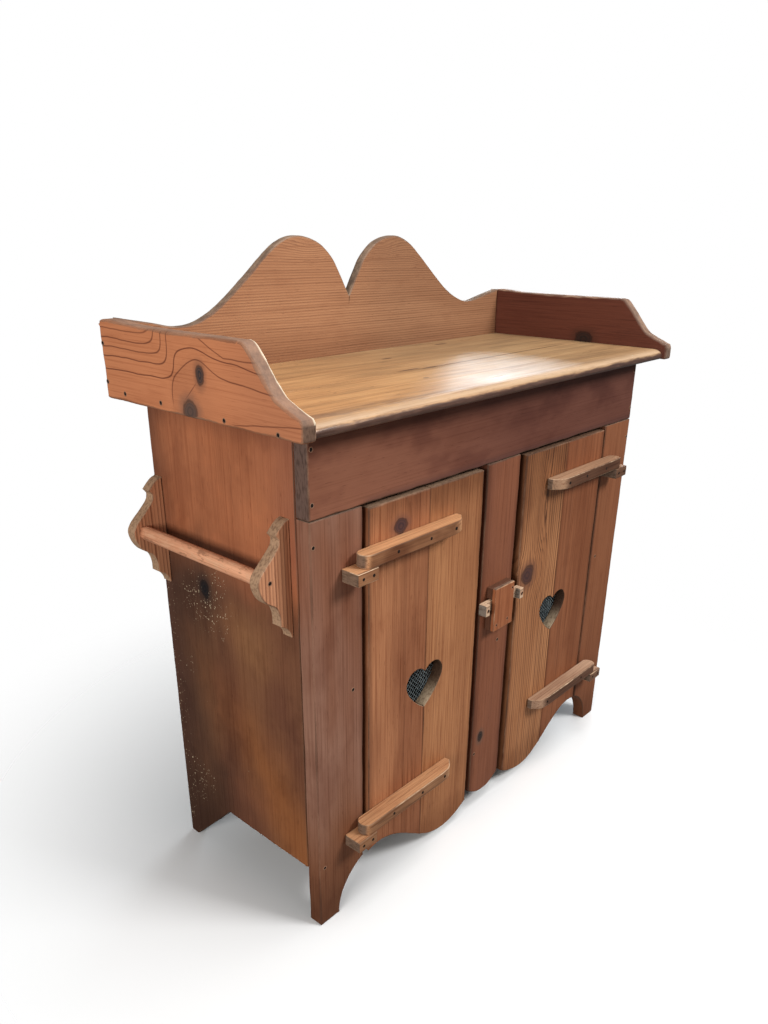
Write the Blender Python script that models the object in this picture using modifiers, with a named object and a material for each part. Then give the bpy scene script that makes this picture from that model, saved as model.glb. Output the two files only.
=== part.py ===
"""Dry sink: a low pine cupboard with a galleried top and a double-humped backsplash.

Two plank doors with hearts cut through them swing on wooden pintle hinges, a wooden bolt slides
behind a keeper plate on the centre stile, and a towel bar stands on each side.

Metres, +Z up. The front faces -Y, and the origin lies on the floor under the middle of the box
round the whole object. Depths below are counted backwards from the front of the face frame.
"""

import math

import bmesh
import bpy
from mathutils import Matrix

# Clearances
SEAT_GAP = 0.0003
PIN_CLEARANCE = 0.0005
BOLT_CLEARANCE = 0.0006
DOOR_HINGE_GAP = 0.0095
DOOR_FREE_GAP = 0.0155
DOOR_TOP_GAP = 0.0055

# Case
CASE_WIDTH = 0.930
CASE_DEPTH = 0.367
CASE_HEIGHT = 0.848
SIDE_THICKNESS = 0.022
BACK_THICKNESS = 0.012
BACK_BOARD_COUNT = 5
SIDE_CUT_HEIGHT = 0.111
REAR_FOOT_TOP = 0.129
REAR_FOOT_BASE = 0.020

# Face frame
FRAME_THICKNESS = 0.028
STILE_WIDTH = 0.1047
CENTRE_STILE_WIDTH = 0.100
RAIL_HEIGHT = 0.122

# Scalloped foot line, shared by the stiles and the doors
FOOT_WIDTH = 0.045
ARCH_HEIGHT = 0.095
ARCH_SPAN = 0.095
LOBE_OFFSET = 0.140
LOBE_HEIGHT = 0.0155
CUSP_HEIGHT = 0.046
CENTRE_DROP = 0.019

# Shelves, the middle one counted down from the underside of the top
SHELF_THICKNESS = 0.020
MIDDLE_SHELF_DROP = 0.425
CLEAT_HEIGHT = 0.018
CLEAT_WIDTH = 0.022

# Top
TOP_THICKNESS = 0.020
TOP_FRONT_OVERHANG = 0.040
TOP_SIDE_OVERHANG = 0.026
TOP_REAR_OVERHANG = 0.007
TOP_FRONT_BOARD_WIDTH = 0.190
TOP_NOSE_RADIUS = 0.009

# Gallery ends
GALLERY_THICKNESS = 0.025
GALLERY_HEIGHT = 0.113
GALLERY_NOSE = 0.008
GALLERY_NOSE_HEIGHT = 0.030
OGEE_LENGTH = 0.112
OGEE_WAIST_HEIGHT = 0.056

# Backsplash, heights counted from the underside of the top
BACKSPLASH_THICKNESS = 0.018
HUMP_HEIGHT = 0.230
HUMP_OFFSET = 0.128
NOTCH_HEIGHT = 0.127
DIP_HEIGHT = 0.097
DIP_OFFSET = 0.385
END_HEIGHT = 0.117

# Doors, standing proud of the face frame, the tip of the heart counted down from the top of the door
DOOR_THICKNESS = 0.022
DOOR_PROUD = 0.0035
BOARD_JOINT_GAP = 0.0005
HEART_WIDTH = 0.096
HEART_HEIGHT = 0.082
HEART_CLEFT = 0.010
HEART_TIP_DROP = 0.3985

# Wire mesh behind the hearts
SCREEN_MARGIN = 0.010
SCREEN_THICKNESS = 0.0012
MESH_PITCH = 0.0100
WIRE_WIDTH = 0.0014

# Pintle hinges, the upper one counted down from the top of the door, the lower one up from the floor
HINGE_BAR_HEIGHT = 0.021
HINGE_BAR_DEPTH = 0.030
HINGE_BAR_REACH = 0.231
HINGE_BAR_PROW = 0.042
HINGE_BAR_TIP = 0.012
HINGE_AXIS_INSET = 0.0117
HINGE_BLOCK_LENGTH = 0.045
HINGE_BLOCK_DEPTH = 0.035
HINGE_BLOCK_HEIGHT = 0.020
HINGE_BLOCK_SETBACK = 0.001
HINGE_PIN_RADIUS = 0.003
HINGE_PIN_RECESS = 0.001
UPPER_HINGE_DROP = 0.0785
LOWER_HINGE_HEIGHT = 0.160

# Latch, counted down from the top of the door to the middle of the bolt
BOLT_HEIGHT = 0.022
BOLT_LENGTH = 0.122
BOLT_WEB_DEPTH = 0.0075
KNOB_DEPTH = 0.0185
KNOB_WIDTH = 0.013
LATCH_DROP = 0.2605
KEEPER_WIDTH = 0.062
KEEPER_ABOVE = 0.022
KEEPER_BELOW = 0.041
KEEPER_THICKNESS = 0.008

# Towel bars, the bracket counted down from the top of the case, the rod down from the bracket's top
BRACKET_THICKNESS = 0.020
BRACKET_DROP = 0.125
BRACKET_HEIGHT = 0.183
BRACKET_REACH = 0.0605
FRONT_BRACKET_DEPTH = 0.040
REAR_BRACKET_SETBACK = 0.002
ROD_RADIUS = 0.0115
ROD_OFFSET = 0.040
ROD_DROP = 0.085
TOWEL_NAIL_RADIUS = 0.0016
TOWEL_NAIL_BITE = 0.030

# Rounded edges
BOARD_EDGE = 0.0015
WORN_EDGE = 0.004
SMALL_EDGE = 0.001
DOOR_EDGE = 0.0025
FRAME_EDGE = 0.002

# Places that several pieces share
HALF_WIDTH = CASE_WIDTH / 2
GALLERY_REAR = CASE_DEPTH + TOP_REAR_OVERHANG + SEAT_GAP + BACKSPLASH_THICKNESS
GALLERY_FRONT = -(TOP_FRONT_OVERHANG + GALLERY_NOSE)
FRONT_Y = -(GALLERY_FRONT + GALLERY_REAR) / 2
RAIL_BOTTOM = CASE_HEIGHT - RAIL_HEIGHT
TOP_UNDERSIDE = CASE_HEIGHT + SEAT_GAP
STILE_EDGE = HALF_WIDTH - STILE_WIDTH
CENTRE_EDGE = CENTRE_STILE_WIDTH / 2
DOOR_OUTER = STILE_EDGE - DOOR_HINGE_GAP
DOOR_INNER = CENTRE_EDGE + DOOR_FREE_GAP
DOOR_JOINT = (DOOR_OUTER + DOOR_INNER) / 2
DOOR_TOP = RAIL_BOTTOM - DOOR_TOP_GAP
HEART_TIP_HEIGHT = DOOR_TOP - HEART_TIP_DROP
UPPER_HINGE_HEIGHT = DOOR_TOP - UPPER_HINGE_DROP
LATCH_HEIGHT = DOOR_TOP - LATCH_DROP
MIDDLE_SHELF_HEIGHT = CASE_HEIGHT - MIDDLE_SHELF_DROP
BRACKET_TOP = CASE_HEIGHT - BRACKET_DROP
BRACKET_BOTTOM = BRACKET_TOP - BRACKET_HEIGHT
ROD_HEIGHT = BRACKET_TOP - ROD_DROP
GALLERY_INNER = HALF_WIDTH + TOP_SIDE_OVERHANG
BACK_FRONT = CASE_DEPTH - BACK_THICKNESS
SHELF_FRONT = FRAME_THICKNESS + SEAT_GAP
SHELF_REAR = BACK_FRONT - SEAT_GAP
SIDE_INNER = HALF_WIDTH - SIDE_THICKNESS
HINGE_AXIS_X = STILE_EDGE + HINGE_AXIS_INSET
HINGE_AXIS_DEPTH = -(DOOR_PROUD + SEAT_GAP + HINGE_BAR_DEPTH / 2)
BOTTOM_CLEAT_HEIGHT = SIDE_CUT_HEIGHT + BOARD_EDGE
BOTTOM_SHELF_HEIGHT = BOTTOM_CLEAT_HEIGHT + CLEAT_HEIGHT + SEAT_GAP
FOOT_EDGE = HALF_WIDTH - FOOT_WIDTH
ARCH_CROWN = FOOT_EDGE - ARCH_SPAN

SIDES = (("left", -1), ("right", 1))

# How finely curves are divided, and what counts as touching, flat or sharp
CURVE_STEPS = 4
FEW_STEPS = 3
FEWEST_STEPS = 2
ARCH_STEPS = 10
DOOR_FOOT_STEPS = 14
CENTRE_FOOT_STEPS = 6
BAR_END_STEPS = 8
NOSE_SEGMENTS = 4
PIN_SIDES = 16
ROD_SIDES = 20
NAIL_SIDES = 10
NEAR = 1e-5
MERGE_DISTANCE = 1e-6
FLAT_ANGLE = math.radians(0.2)
SHARP_ANGLE = math.radians(40)

PINE = (0.36, 0.17, 0.075)
DARK_PINE = (0.27, 0.12, 0.06)
PALE_PINE = (0.45, 0.27, 0.14)
INSIDE_PINE = (0.24, 0.14, 0.08)
IRON = (0.05, 0.04, 0.035)
ZINC = (0.42, 0.44, 0.45)


def clear_scene():
    for obj in list(bpy.data.objects):
        bpy.data.objects.remove(obj, do_unlink=True)


def collection(name):
    made = bpy.data.collections.new(name)
    bpy.context.scene.collection.children.link(made)
    return made


def material(name, colour, roughness=0.6, metallic=0.0):
    made = bpy.data.materials.new(name)
    made.use_nodes = True
    shader = made.node_tree.nodes["Principled BSDF"]
    shader.inputs["Base Color"].default_value = (*colour, 1.0)
    shader.inputs["Roughness"].default_value = roughness
    shader.inputs["Metallic"].default_value = metallic
    return made


def y_at(depth):
    """World Y of a depth behind the front of the face frame."""
    return FRONT_Y + depth


def add_part(name, mesh, matrix, colour, parent=None, roughness=0.6, metallic=0.0):
    """Adds one piece to the part's collection, under its moving body's empty if it has one."""
    obj = bpy.data.objects.new(name, mesh)
    PART.objects.link(obj)
    mesh.materials.append(material(name, colour, roughness, metallic))
    if parent is not None:
        obj.parent = parent
        obj.matrix_parent_inverse = parent.matrix_world.inverted()
    obj.matrix_world = matrix
    return obj


def add_axis(name, location):
    axis = bpy.data.objects.new(name, None)
    PART.objects.link(axis)
    axis.location = location
    bpy.context.view_layer.update()
    return axis


def soften(obj, width, segments=2):
    """Rounds every sharp edge of a piece."""
    bevel = obj.modifiers.new("Rounded edges", "BEVEL")
    bevel.width = width
    bevel.segments = segments
    bevel.limit_method = "ANGLE"
    bevel.angle_limit = SHARP_ANGLE
    return obj


def soften_some(obj, width, weight_of, segments=2):
    """Rounds each edge by the share of width that weight_of gives for the edge's ends."""
    mesh = obj.data
    weights = mesh.attributes.new("bevel_weight_edge", "FLOAT", "EDGE")
    for edge in mesh.edges:
        first, second = (mesh.vertices[index].co for index in edge.vertices)
        weights.data[edge.index].value = weight_of(first, second)
    bevel = obj.modifiers.new("Rounded edges", "BEVEL")
    bevel.width = width
    bevel.segments = segments
    bevel.limit_method = "WEIGHT"
    return obj


def box_mesh(name, size):
    mesh = bpy.data.meshes.new(name)
    work = bmesh.new()
    bmesh.ops.create_cube(work, size=1.0, matrix=Matrix.Diagonal((*size, 1.0)))
    work.to_mesh(mesh)
    work.free()
    return mesh


def board(name, x, depth, z, colour, parent=None, **finish):
    """A rectangular piece between two x, two depths and two heights."""
    size = (x[1] - x[0], depth[1] - depth[0], z[1] - z[0])
    middle = ((x[0] + x[1]) / 2, y_at((depth[0] + depth[1]) / 2), (z[0] + z[1]) / 2)
    return add_part(name, box_mesh(name, size), Matrix.Translation(middle), colour, parent, **finish)


def smooth(points, steps=CURVE_STEPS):
    """A curve through the points, which are its knots: a Catmull-Rom spline, ends included."""
    padded = [points[0], *points, points[-1]]
    path = []
    for before, start, end, after in zip(padded, padded[1:], padded[2:], padded[3:]):
        for step in range(steps):
            t = step / steps
            weights = (
                (-t + 2 * t * t - t**3) / 2,
                (2 - 5 * t * t + 3 * t**3) / 2,
                (t + 4 * t * t - 3 * t**3) / 2,
                (-t * t + t**3) / 2,
            )
            knots = (before, start, end, after)
            path.append(tuple(sum(w * k[axis] for w, k in zip(weights, knots)) for axis in (0, 1)))
    path.append(points[-1])
    return path


def arc(centre, radius, start, end, steps):
    """Points on a circle between two angles in degrees, ends included."""
    turns = [math.radians(start + (end - start) * step / steps) for step in range(steps + 1)]
    return [(centre[0] + radius * math.cos(turn), centre[1] + radius * math.sin(turn)) for turn in turns]


def flat_mesh(name, outlines, thickness, merge_flat=True):
    """A flat outline, with any holes, extruded evenly to both sides of its plane."""
    curve = bpy.data.curves.new(name, "CURVE")
    curve.dimensions = "2D"
    curve.fill_mode = "BOTH"
    curve.extrude = thickness / 2
    for outline in outlines:
        spline = curve.splines.new("POLY")
        spline.points.add(len(outline) - 1)
        spline.use_cyclic_u = True
        for point, (u, v) in zip(spline.points, outline):
            point.co = (u, v, 0.0, 1.0)
    guide = bpy.data.objects.new(name + "_outline", curve)
    bpy.context.scene.collection.objects.link(guide)
    graph = bpy.context.evaluated_depsgraph_get()
    mesh = bpy.data.meshes.new_from_object(guide.evaluated_get(graph))
    bpy.data.objects.remove(guide, do_unlink=True)
    work = bmesh.new()
    work.from_mesh(mesh)
    bmesh.ops.remove_doubles(work, verts=work.verts, dist=MERGE_DISTANCE)
    if merge_flat:
        bmesh.ops.dissolve_limit(work, angle_limit=FLAT_ANGLE, verts=work.verts, edges=work.edges)
    bmesh.ops.recalc_face_normals(work, faces=work.faces)
    work.to_mesh(mesh)
    work.free()
    mesh.name = name
    return mesh


def facing_front(depth):
    """Lays an outline of (x, z) upright across the front, its middle at this depth."""
    return Matrix.Translation((0, y_at(depth), 0)) @ Matrix.Rotation(math.radians(90), 4, "X")


def facing_side(x):
    """Lays an outline of (depth, z) upright along the side, its middle at this x."""
    return Matrix(((0, 0, 1, x), (1, 0, 0, FRONT_Y), (0, 1, 0, 0), (0, 0, 0, 1)))


def lying_flat(z):
    """Lays an outline of (x, depth) level, its middle at this height."""
    return Matrix.Translation((0, FRONT_Y, z))


def cylinder_mesh(name, radius, length, sides=PIN_SIDES):
    mesh = bpy.data.meshes.new(name)
    work = bmesh.new()
    bmesh.ops.create_cone(
        work, cap_ends=True, segments=sides, radius1=radius, radius2=radius, depth=length
    )
    work.to_mesh(mesh)
    work.free()
    mesh.shade_smooth()
    mesh.set_sharp_from_angle(angle=SHARP_ANGLE)
    return mesh


def along_y(x, depth, z):
    return Matrix.Translation((x, y_at(depth), z)) @ Matrix.Rotation(math.radians(90), 4, "X")


def drill(obj, radius, length, matrix):
    """Cuts a round hole along the matrix's Z axis."""
    cutter = bpy.data.objects.new(obj.name + "_drill", cylinder_mesh(obj.name + "_drill", radius, length))
    CUTTERS.objects.link(cutter)
    cutter.matrix_world = matrix
    cutter.hide_render = True
    cutter.display_type = "WIRE"
    hole = obj.modifiers.new("Drilled hole", "BOOLEAN")
    hole.operation = "DIFFERENCE"
    hole.solver = "EXACT"
    hole.object = cutter


def foot_line(x):
    """Height of the scalloped foot line of the front at a distance x from the middle."""
    if x <= CENTRE_EDGE:
        return CUSP_HEIGHT - CENTRE_DROP * (1 - (x / CENTRE_EDGE) ** 2)
    if x <= LOBE_OFFSET:
        share = (LOBE_OFFSET - x) / (LOBE_OFFSET - CENTRE_EDGE)
        return LOBE_HEIGHT + (CUSP_HEIGHT - LOBE_HEIGHT) * share**2
    if x <= ARCH_CROWN:
        share = (x - LOBE_OFFSET) / (ARCH_CROWN - LOBE_OFFSET)
        return LOBE_HEIGHT + (ARCH_HEIGHT - LOBE_HEIGHT) * (1 - math.cos(math.pi * share)) / 2
    share = min((x - ARCH_CROWN) / ARCH_SPAN, 1.0)
    return ARCH_HEIGHT * math.sqrt(1 - share**2)


def foot_path(start, end, steps):
    """Points of the foot line from one distance to another, both counted from the middle."""
    stops = [start + (end - start) * step / steps for step in range(steps + 1)]
    return [(x, foot_line(x)) for x in stops]


def mirrored(outline, side):
    return [(side * u, v) for u, v in outline]


def build_sides():
    front = FRAME_THICKNESS + SEAT_GAP
    outline = [
        (front, SIDE_CUT_HEIGHT),
        (CASE_DEPTH - REAR_FOOT_TOP, SIDE_CUT_HEIGHT),
        (CASE_DEPTH - REAR_FOOT_BASE, 0.0),
        (CASE_DEPTH, 0.0),
        (CASE_DEPTH, CASE_HEIGHT),
        (front, CASE_HEIGHT),
    ]
    for word, side in SIDES:
        name = f"{word}_side_panel"
        mesh = flat_mesh(name, [outline], SIDE_THICKNESS)
        middle = side * (HALF_WIDTH - SIDE_THICKNESS / 2)
        soften(add_part(name, mesh, facing_side(middle), PINE), BOARD_EDGE)


def build_face_frame():
    depth = (0.0, FRAME_THICKNESS)
    rail = board("top_rail", (-HALF_WIDTH, HALF_WIDTH), depth, (RAIL_BOTTOM, CASE_HEIGHT), DARK_PINE)
    soften(rail, FRAME_EDGE)
    stile_top = RAIL_BOTTOM - SEAT_GAP
    edge_turn = math.acos((STILE_EDGE - ARCH_CROWN) / ARCH_SPAN)
    turns = [edge_turn * step / ARCH_STEPS for step in range(ARCH_STEPS + 1)]
    arch = [(ARCH_CROWN + ARCH_SPAN * math.cos(turn), ARCH_HEIGHT * math.sin(turn)) for turn in turns]
    stile = [(HALF_WIDTH, stile_top), (HALF_WIDTH, 0.0), *arch, (STILE_EDGE, stile_top)]
    middle = FRAME_THICKNESS / 2
    for word, side in SIDES:
        name = f"{word}_stile"
        mesh = flat_mesh(name, [mirrored(stile, side)], FRAME_THICKNESS)
        soften(add_part(name, mesh, facing_front(middle), DARK_PINE), FRAME_EDGE)
    half_foot = foot_path(CENTRE_EDGE, 0.0, CENTRE_FOOT_STEPS)
    foot = half_foot + mirrored(half_foot[-2::-1], -1)
    centre = [(CENTRE_EDGE, stile_top), *foot, (-CENTRE_EDGE, stile_top)]
    mesh = flat_mesh("centre_stile", [centre], FRAME_THICKNESS)
    soften(add_part("centre_stile", mesh, facing_front(middle), DARK_PINE), FRAME_EDGE)


def build_back():
    room = 2 * (SIDE_INNER - SEAT_GAP)
    pitch = (room + SEAT_GAP) / BACK_BOARD_COUNT
    for index in range(BACK_BOARD_COUNT):
        left = -room / 2 + index * pitch
        x = (left, left + pitch - SEAT_GAP)
        z = (BOTTOM_CLEAT_HEIGHT, CASE_HEIGHT)
        piece = board(f"back_board_{index + 1}", x, (BACK_FRONT, CASE_DEPTH), z, INSIDE_PINE)
        soften(piece, SMALL_EDGE, 1)


def build_shelves():
    reach = SIDE_INNER - SEAT_GAP
    depth = (SHELF_FRONT, SHELF_REAR)
    cleat_heights = {
        "bottom": BOTTOM_CLEAT_HEIGHT,
        "middle": MIDDLE_SHELF_HEIGHT - SEAT_GAP - CLEAT_HEIGHT,
    }
    shelf_heights = {"bottom": BOTTOM_SHELF_HEIGHT, "middle": MIDDLE_SHELF_HEIGHT}
    for level, low in shelf_heights.items():
        z = (low, low + SHELF_THICKNESS)
        soften(board(f"{level}_shelf", (-reach, reach), depth, z, INSIDE_PINE), SMALL_EDGE, 1)
        cleat_z = (cleat_heights[level], cleat_heights[level] + CLEAT_HEIGHT)
        for word, side in SIDES:
            x = sorted((side * reach, side * (reach - CLEAT_WIDTH)))
            soften(board(f"{level}_{word}_cleat", x, depth, cleat_z, INSIDE_PINE), SMALL_EDGE, 1)


def build_top():
    reach = GALLERY_INNER - SEAT_GAP
    z = (TOP_UNDERSIDE, TOP_UNDERSIDE + TOP_THICKNESS)
    seam = TOP_FRONT_BOARD_WIDTH - TOP_FRONT_OVERHANG
    front = board("top_board_front", (-reach, reach), (-TOP_FRONT_OVERHANG, seam), z, PINE, roughness=0.45)
    half_depth = TOP_FRONT_BOARD_WIDTH / 2

    def nose_weight(first, second):
        at_front = max(abs(end.y + half_depth) for end in (first, second)) < NEAR
        along = abs(first.x - second.x) > NEAR
        return 1.0 if at_front and along else SMALL_EDGE / TOP_NOSE_RADIUS

    soften_some(front, TOP_NOSE_RADIUS, nose_weight, NOSE_SEGMENTS)
    rear = (seam + SEAT_GAP, CASE_DEPTH + TOP_REAR_OVERHANG)
    soften(board("top_board_rear", (-reach, reach), rear, z, PINE, roughness=0.45), SMALL_EDGE, 1)


def build_gallery():
    base = CASE_HEIGHT
    top = base + GALLERY_HEIGHT
    waist = base + OGEE_WAIST_HEIGHT
    nose = base + GALLERY_NOSE_HEIGHT
    start = GALLERY_FRONT + OGEE_LENGTH
    ogee = smooth([
        (start, top),
        (start - 0.11 * OGEE_LENGTH, top - 0.05 * (top - waist)),
        (start - 0.25 * OGEE_LENGTH, top - 0.33 * (top - waist)),
        (start - 0.54 * OGEE_LENGTH, waist),
        (start - 0.69 * OGEE_LENGTH, waist - 0.42 * (waist - nose)),
        (GALLERY_FRONT + WORN_EDGE, nose),
    ])
    corner = 1.5 * WORN_EDGE
    toe = arc((GALLERY_FRONT + corner, base + corner), corner, 180, 270, FEW_STEPS)
    brow = [(GALLERY_FRONT, nose - corner)]
    outline = [(GALLERY_REAR, base), (GALLERY_REAR, top), *ogee, *brow, *toe]
    for word, side in SIDES:
        name = f"{word}_gallery"
        mesh = flat_mesh(name, [outline], GALLERY_THICKNESS)
        middle = side * (GALLERY_INNER + GALLERY_THICKNESS / 2)
        soften(add_part(name, mesh, facing_side(middle), PINE), WORN_EDGE)


def build_backsplash():
    base = CASE_HEIGHT
    reach = GALLERY_INNER - SEAT_GAP
    rise = HUMP_HEIGHT - NOTCH_HEIGHT
    fall = HUMP_HEIGHT - DIP_HEIGHT
    run = DIP_OFFSET - HUMP_OFFSET
    inner = smooth([
        (0.0, base + NOTCH_HEIGHT),
        (0.17 * HUMP_OFFSET, base + NOTCH_HEIGHT + 0.34 * rise),
        (0.35 * HUMP_OFFSET, base + NOTCH_HEIGHT + 0.66 * rise),
        (0.62 * HUMP_OFFSET, base + NOTCH_HEIGHT + 0.90 * rise),
        (HUMP_OFFSET, base + HUMP_HEIGHT),
        (HUMP_OFFSET + 0.17 * run, base + HUMP_HEIGHT - 0.09 * fall),
        (HUMP_OFFSET + 0.33 * run, base + HUMP_HEIGHT - 0.31 * fall),
        (HUMP_OFFSET + 0.61 * run, base + HUMP_HEIGHT - 0.72 * fall),
        (HUMP_OFFSET + 0.82 * run, base + HUMP_HEIGHT - 0.94 * fall),
        (DIP_OFFSET, base + DIP_HEIGHT),
        ((DIP_OFFSET + reach) / 2, base + (DIP_HEIGHT + END_HEIGHT) / 2),
        (reach, base + END_HEIGHT),
    ], FEW_STEPS)
    outline = [(reach, base), *inner[::-1], *mirrored(inner[1:], -1), (-reach, base)]
    mesh = flat_mesh("backsplash", [outline], BACKSPLASH_THICKNESS)
    middle = GALLERY_REAR - BACKSPLASH_THICKNESS / 2
    soften(add_part("backsplash", mesh, facing_front(middle), PINE), 0.5 * WORN_EDGE)


def half_heart():
    """The heart's edge from its cleft round one lobe to its tip, as (distance from the joint, z)."""
    half = HEART_WIDTH / 2
    top = HEART_TIP_HEIGHT + HEART_HEIGHT
    cleft = top - HEART_CLEFT
    return smooth([
        (BOARD_JOINT_GAP / 2, cleft),
        (0.22 * half, top - 0.25 * HEART_CLEFT),
        (0.50 * half, top),
        (0.80 * half, top - 0.06 * HEART_HEIGHT),
        (half, top - 0.25 * HEART_HEIGHT),
        (0.93 * half, top - 0.45 * HEART_HEIGHT),
        (0.68 * half, top - 0.66 * HEART_HEIGHT),
        (0.34 * half, top - 0.86 * HEART_HEIGHT),
        (BOARD_JOINT_GAP / 2, HEART_TIP_HEIGHT),
    ], FEW_STEPS)


def build_door_boards(word, side, axis):
    heart = half_heart()
    middle = DOOR_THICKNESS / 2 - DOOR_PROUD
    edges = {"outer": (DOOR_OUTER, 1), "inner": (DOOR_INNER, -1)}
    for place, (edge, outward) in edges.items():
        joint = DOOR_JOINT + outward * BOARD_JOINT_GAP / 2
        notch = [(DOOR_JOINT + outward * u, v) for u, v in heart]
        foot = foot_path(joint, edge, DOOR_FOOT_STEPS)
        outline = [(edge, DOOR_TOP), (joint, DOOR_TOP), *notch, *foot]
        name = f"{word}_door_{place}_board"
        mesh = flat_mesh(name, [mirrored(outline, side)], DOOR_THICKNESS)
        piece = add_part(name, mesh, facing_front(middle), PINE, axis)

        def front_weight(first, second):
            """The front arris is worn round, except along the joint and the heart."""
            on_front = min(first.z, second.z) > 0
            reach = max(abs(side * end.x - DOOR_JOINT) for end in (first, second))
            middle_z = (first.y + second.y) / 2
            at_heart = HEART_TIP_HEIGHT < middle_z < HEART_TIP_HEIGHT + HEART_HEIGHT
            on_heart = at_heart and reach < HEART_WIDTH / 2 + NEAR
            along_joint = reach < BOARD_JOINT_GAP / 2 + NEAR
            if along_joint or on_heart or not on_front:
                return 0.5 * SMALL_EDGE / DOOR_EDGE
            return 1.0

        soften_some(piece, DOOR_EDGE, front_weight)


def build_screen(word, side, axis):
    """A patch of square mesh laid on the diagonal and fastened to the back of the door."""
    half_width = HEART_WIDTH / 2 + SCREEN_MARGIN
    low = HEART_TIP_HEIGHT - SCREEN_MARGIN
    high = HEART_TIP_HEIGHT + HEART_HEIGHT + SCREEN_MARGIN
    centre_x = side * DOOR_JOINT
    centre_z = (low + high) / 2
    frame = [
        (centre_x - half_width, low),
        (centre_x + half_width, low),
        (centre_x + half_width, high),
        (centre_x - half_width, high),
    ]
    step = MESH_PITCH / math.sqrt(2)
    gap = (MESH_PITCH - WIRE_WIDTH) / math.sqrt(2)
    columns = math.floor((half_width - gap - WIRE_WIDTH) / step)
    rows = math.floor(((high - low) / 2 - gap - WIRE_WIDTH) / step)
    holes = []
    for row in range(-rows, rows + 1):
        for column in range(-columns, columns + 1):
            if (row + column) % 2:
                continue
            u = centre_x + column * step
            v = centre_z + row * step
            holes.append([(u + gap, v), (u, v + gap), (u - gap, v), (u, v - gap)])
    name = f"{word}_heart_screen"
    mesh = flat_mesh(name, [frame, *holes], SCREEN_THICKNESS, merge_flat=False)
    middle = DOOR_THICKNESS - DOOR_PROUD + SEAT_GAP + SCREEN_THICKNESS / 2
    add_part(name, mesh, facing_front(middle), ZINC, axis, roughness=0.45, metallic=0.9)


def build_hinge(word, side, axis, level, height):
    """One pintle hinge: the bar turns with the door, and the block and pin stay on the stile."""
    radius = HINGE_BAR_DEPTH / 2
    back = HINGE_AXIS_DEPTH + radius
    front = HINGE_AXIS_DEPTH - radius
    tip = HINGE_AXIS_X - HINGE_BAR_REACH
    round_end = arc((HINGE_AXIS_X, HINGE_AXIS_DEPTH), radius, 90, -90, BAR_END_STEPS)
    prow = smooth([
        (tip + HINGE_BAR_PROW, front),
        (tip + 0.45 * HINGE_BAR_PROW, front + 0.12 * HINGE_BAR_DEPTH),
        (tip, back - HINGE_BAR_TIP),
    ])
    outline = [*round_end, *prow, (tip, back)]
    name = f"{word}_{level}_hinge_bar"
    mesh = flat_mesh(name, [mirrored(outline, side)], HINGE_BAR_HEIGHT)
    bar = add_part(name, mesh, lying_flat(height + HINGE_BAR_HEIGHT / 2), PALE_PINE, axis)
    soften(bar, BOARD_EDGE)
    inner = STILE_EDGE + HINGE_BLOCK_SETBACK
    x = sorted((side * inner, side * (inner + HINGE_BLOCK_LENGTH)))
    block_top = height - SEAT_GAP
    depth = (-SEAT_GAP - HINGE_BLOCK_DEPTH, -SEAT_GAP)
    z = (block_top - HINGE_BLOCK_HEIGHT, block_top)
    block = board(f"{word}_{level}_hinge_block", x, depth, z, PALE_PINE)
    soften(block, BOARD_EDGE)
    pin_low = z[0] + HINGE_PIN_RECESS
    pin_high = height + HINGE_BAR_HEIGHT - HINGE_PIN_RECESS
    place = Matrix.Translation((side * HINGE_AXIS_X, y_at(HINGE_AXIS_DEPTH), (pin_low + pin_high) / 2))
    pin_mesh = cylinder_mesh(f"{word}_{level}_hinge_pin", HINGE_PIN_RADIUS, pin_high - pin_low)
    add_part(f"{word}_{level}_hinge_pin", pin_mesh, place, IRON, roughness=0.5, metallic=0.8)
    hole_length = 2 * (HINGE_BAR_HEIGHT + HINGE_BLOCK_HEIGHT)
    drill(bar, HINGE_PIN_RADIUS + PIN_CLEARANCE, hole_length, place)
    drill(block, HINGE_PIN_RADIUS + SEAT_GAP, hole_length, place)


def build_doors():
    for word, side in SIDES:
        axis = add_axis(f"{word}_door_axis", (side * HINGE_AXIS_X, y_at(HINGE_AXIS_DEPTH), 0.0))
        build_door_boards(word, side, axis)
        build_screen(word, side, axis)
        build_hinge(word, side, axis, "upper", UPPER_HINGE_HEIGHT)
        build_hinge(word, side, axis, "lower", LOWER_HINGE_HEIGHT)


def build_latch():
    axis = add_axis("latch_axis", (0.0, y_at(0.0), LATCH_HEIGHT))
    half = BOLT_LENGTH / 2
    back = -(DOOR_PROUD + BOLT_CLEARANCE)
    web = back - BOLT_WEB_DEPTH
    face = back - KNOB_DEPTH
    shoulder = half - KNOB_WIDTH
    end = [(half, back), (half, face), (shoulder, face), (shoulder, web)]
    mesh = flat_mesh("latch_bolt", [end + mirrored(end[::-1], -1)], BOLT_HEIGHT)
    soften(add_part("latch_bolt", mesh, lying_flat(LATCH_HEIGHT), PALE_PINE, axis), 1.5 * BOARD_EDGE)
    x = (-KEEPER_WIDTH / 2, KEEPER_WIDTH / 2)
    bolt_top = LATCH_HEIGHT + BOLT_HEIGHT / 2 + BOLT_CLEARANCE
    bolt_bottom = LATCH_HEIGHT - BOLT_HEIGHT / 2 - BOLT_CLEARANCE
    plate_back = web - BOLT_CLEARANCE
    spacer_depth = (plate_back + SEAT_GAP, -SEAT_GAP)
    plate_depth = (plate_back - KEEPER_THICKNESS, plate_back)
    plate_z = (bolt_bottom - KEEPER_BELOW, bolt_top + KEEPER_ABOVE)
    spacer_heights = {"upper": (bolt_top, plate_z[1]), "lower": (plate_z[0], bolt_bottom)}
    for place, z in spacer_heights.items():
        soften(board(f"keeper_spacer_{place}", x, spacer_depth, z, PINE), SMALL_EDGE, 1)
    soften(board("keeper_plate", x, plate_depth, plate_z, PINE), 1.5 * BOARD_EDGE)


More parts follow.
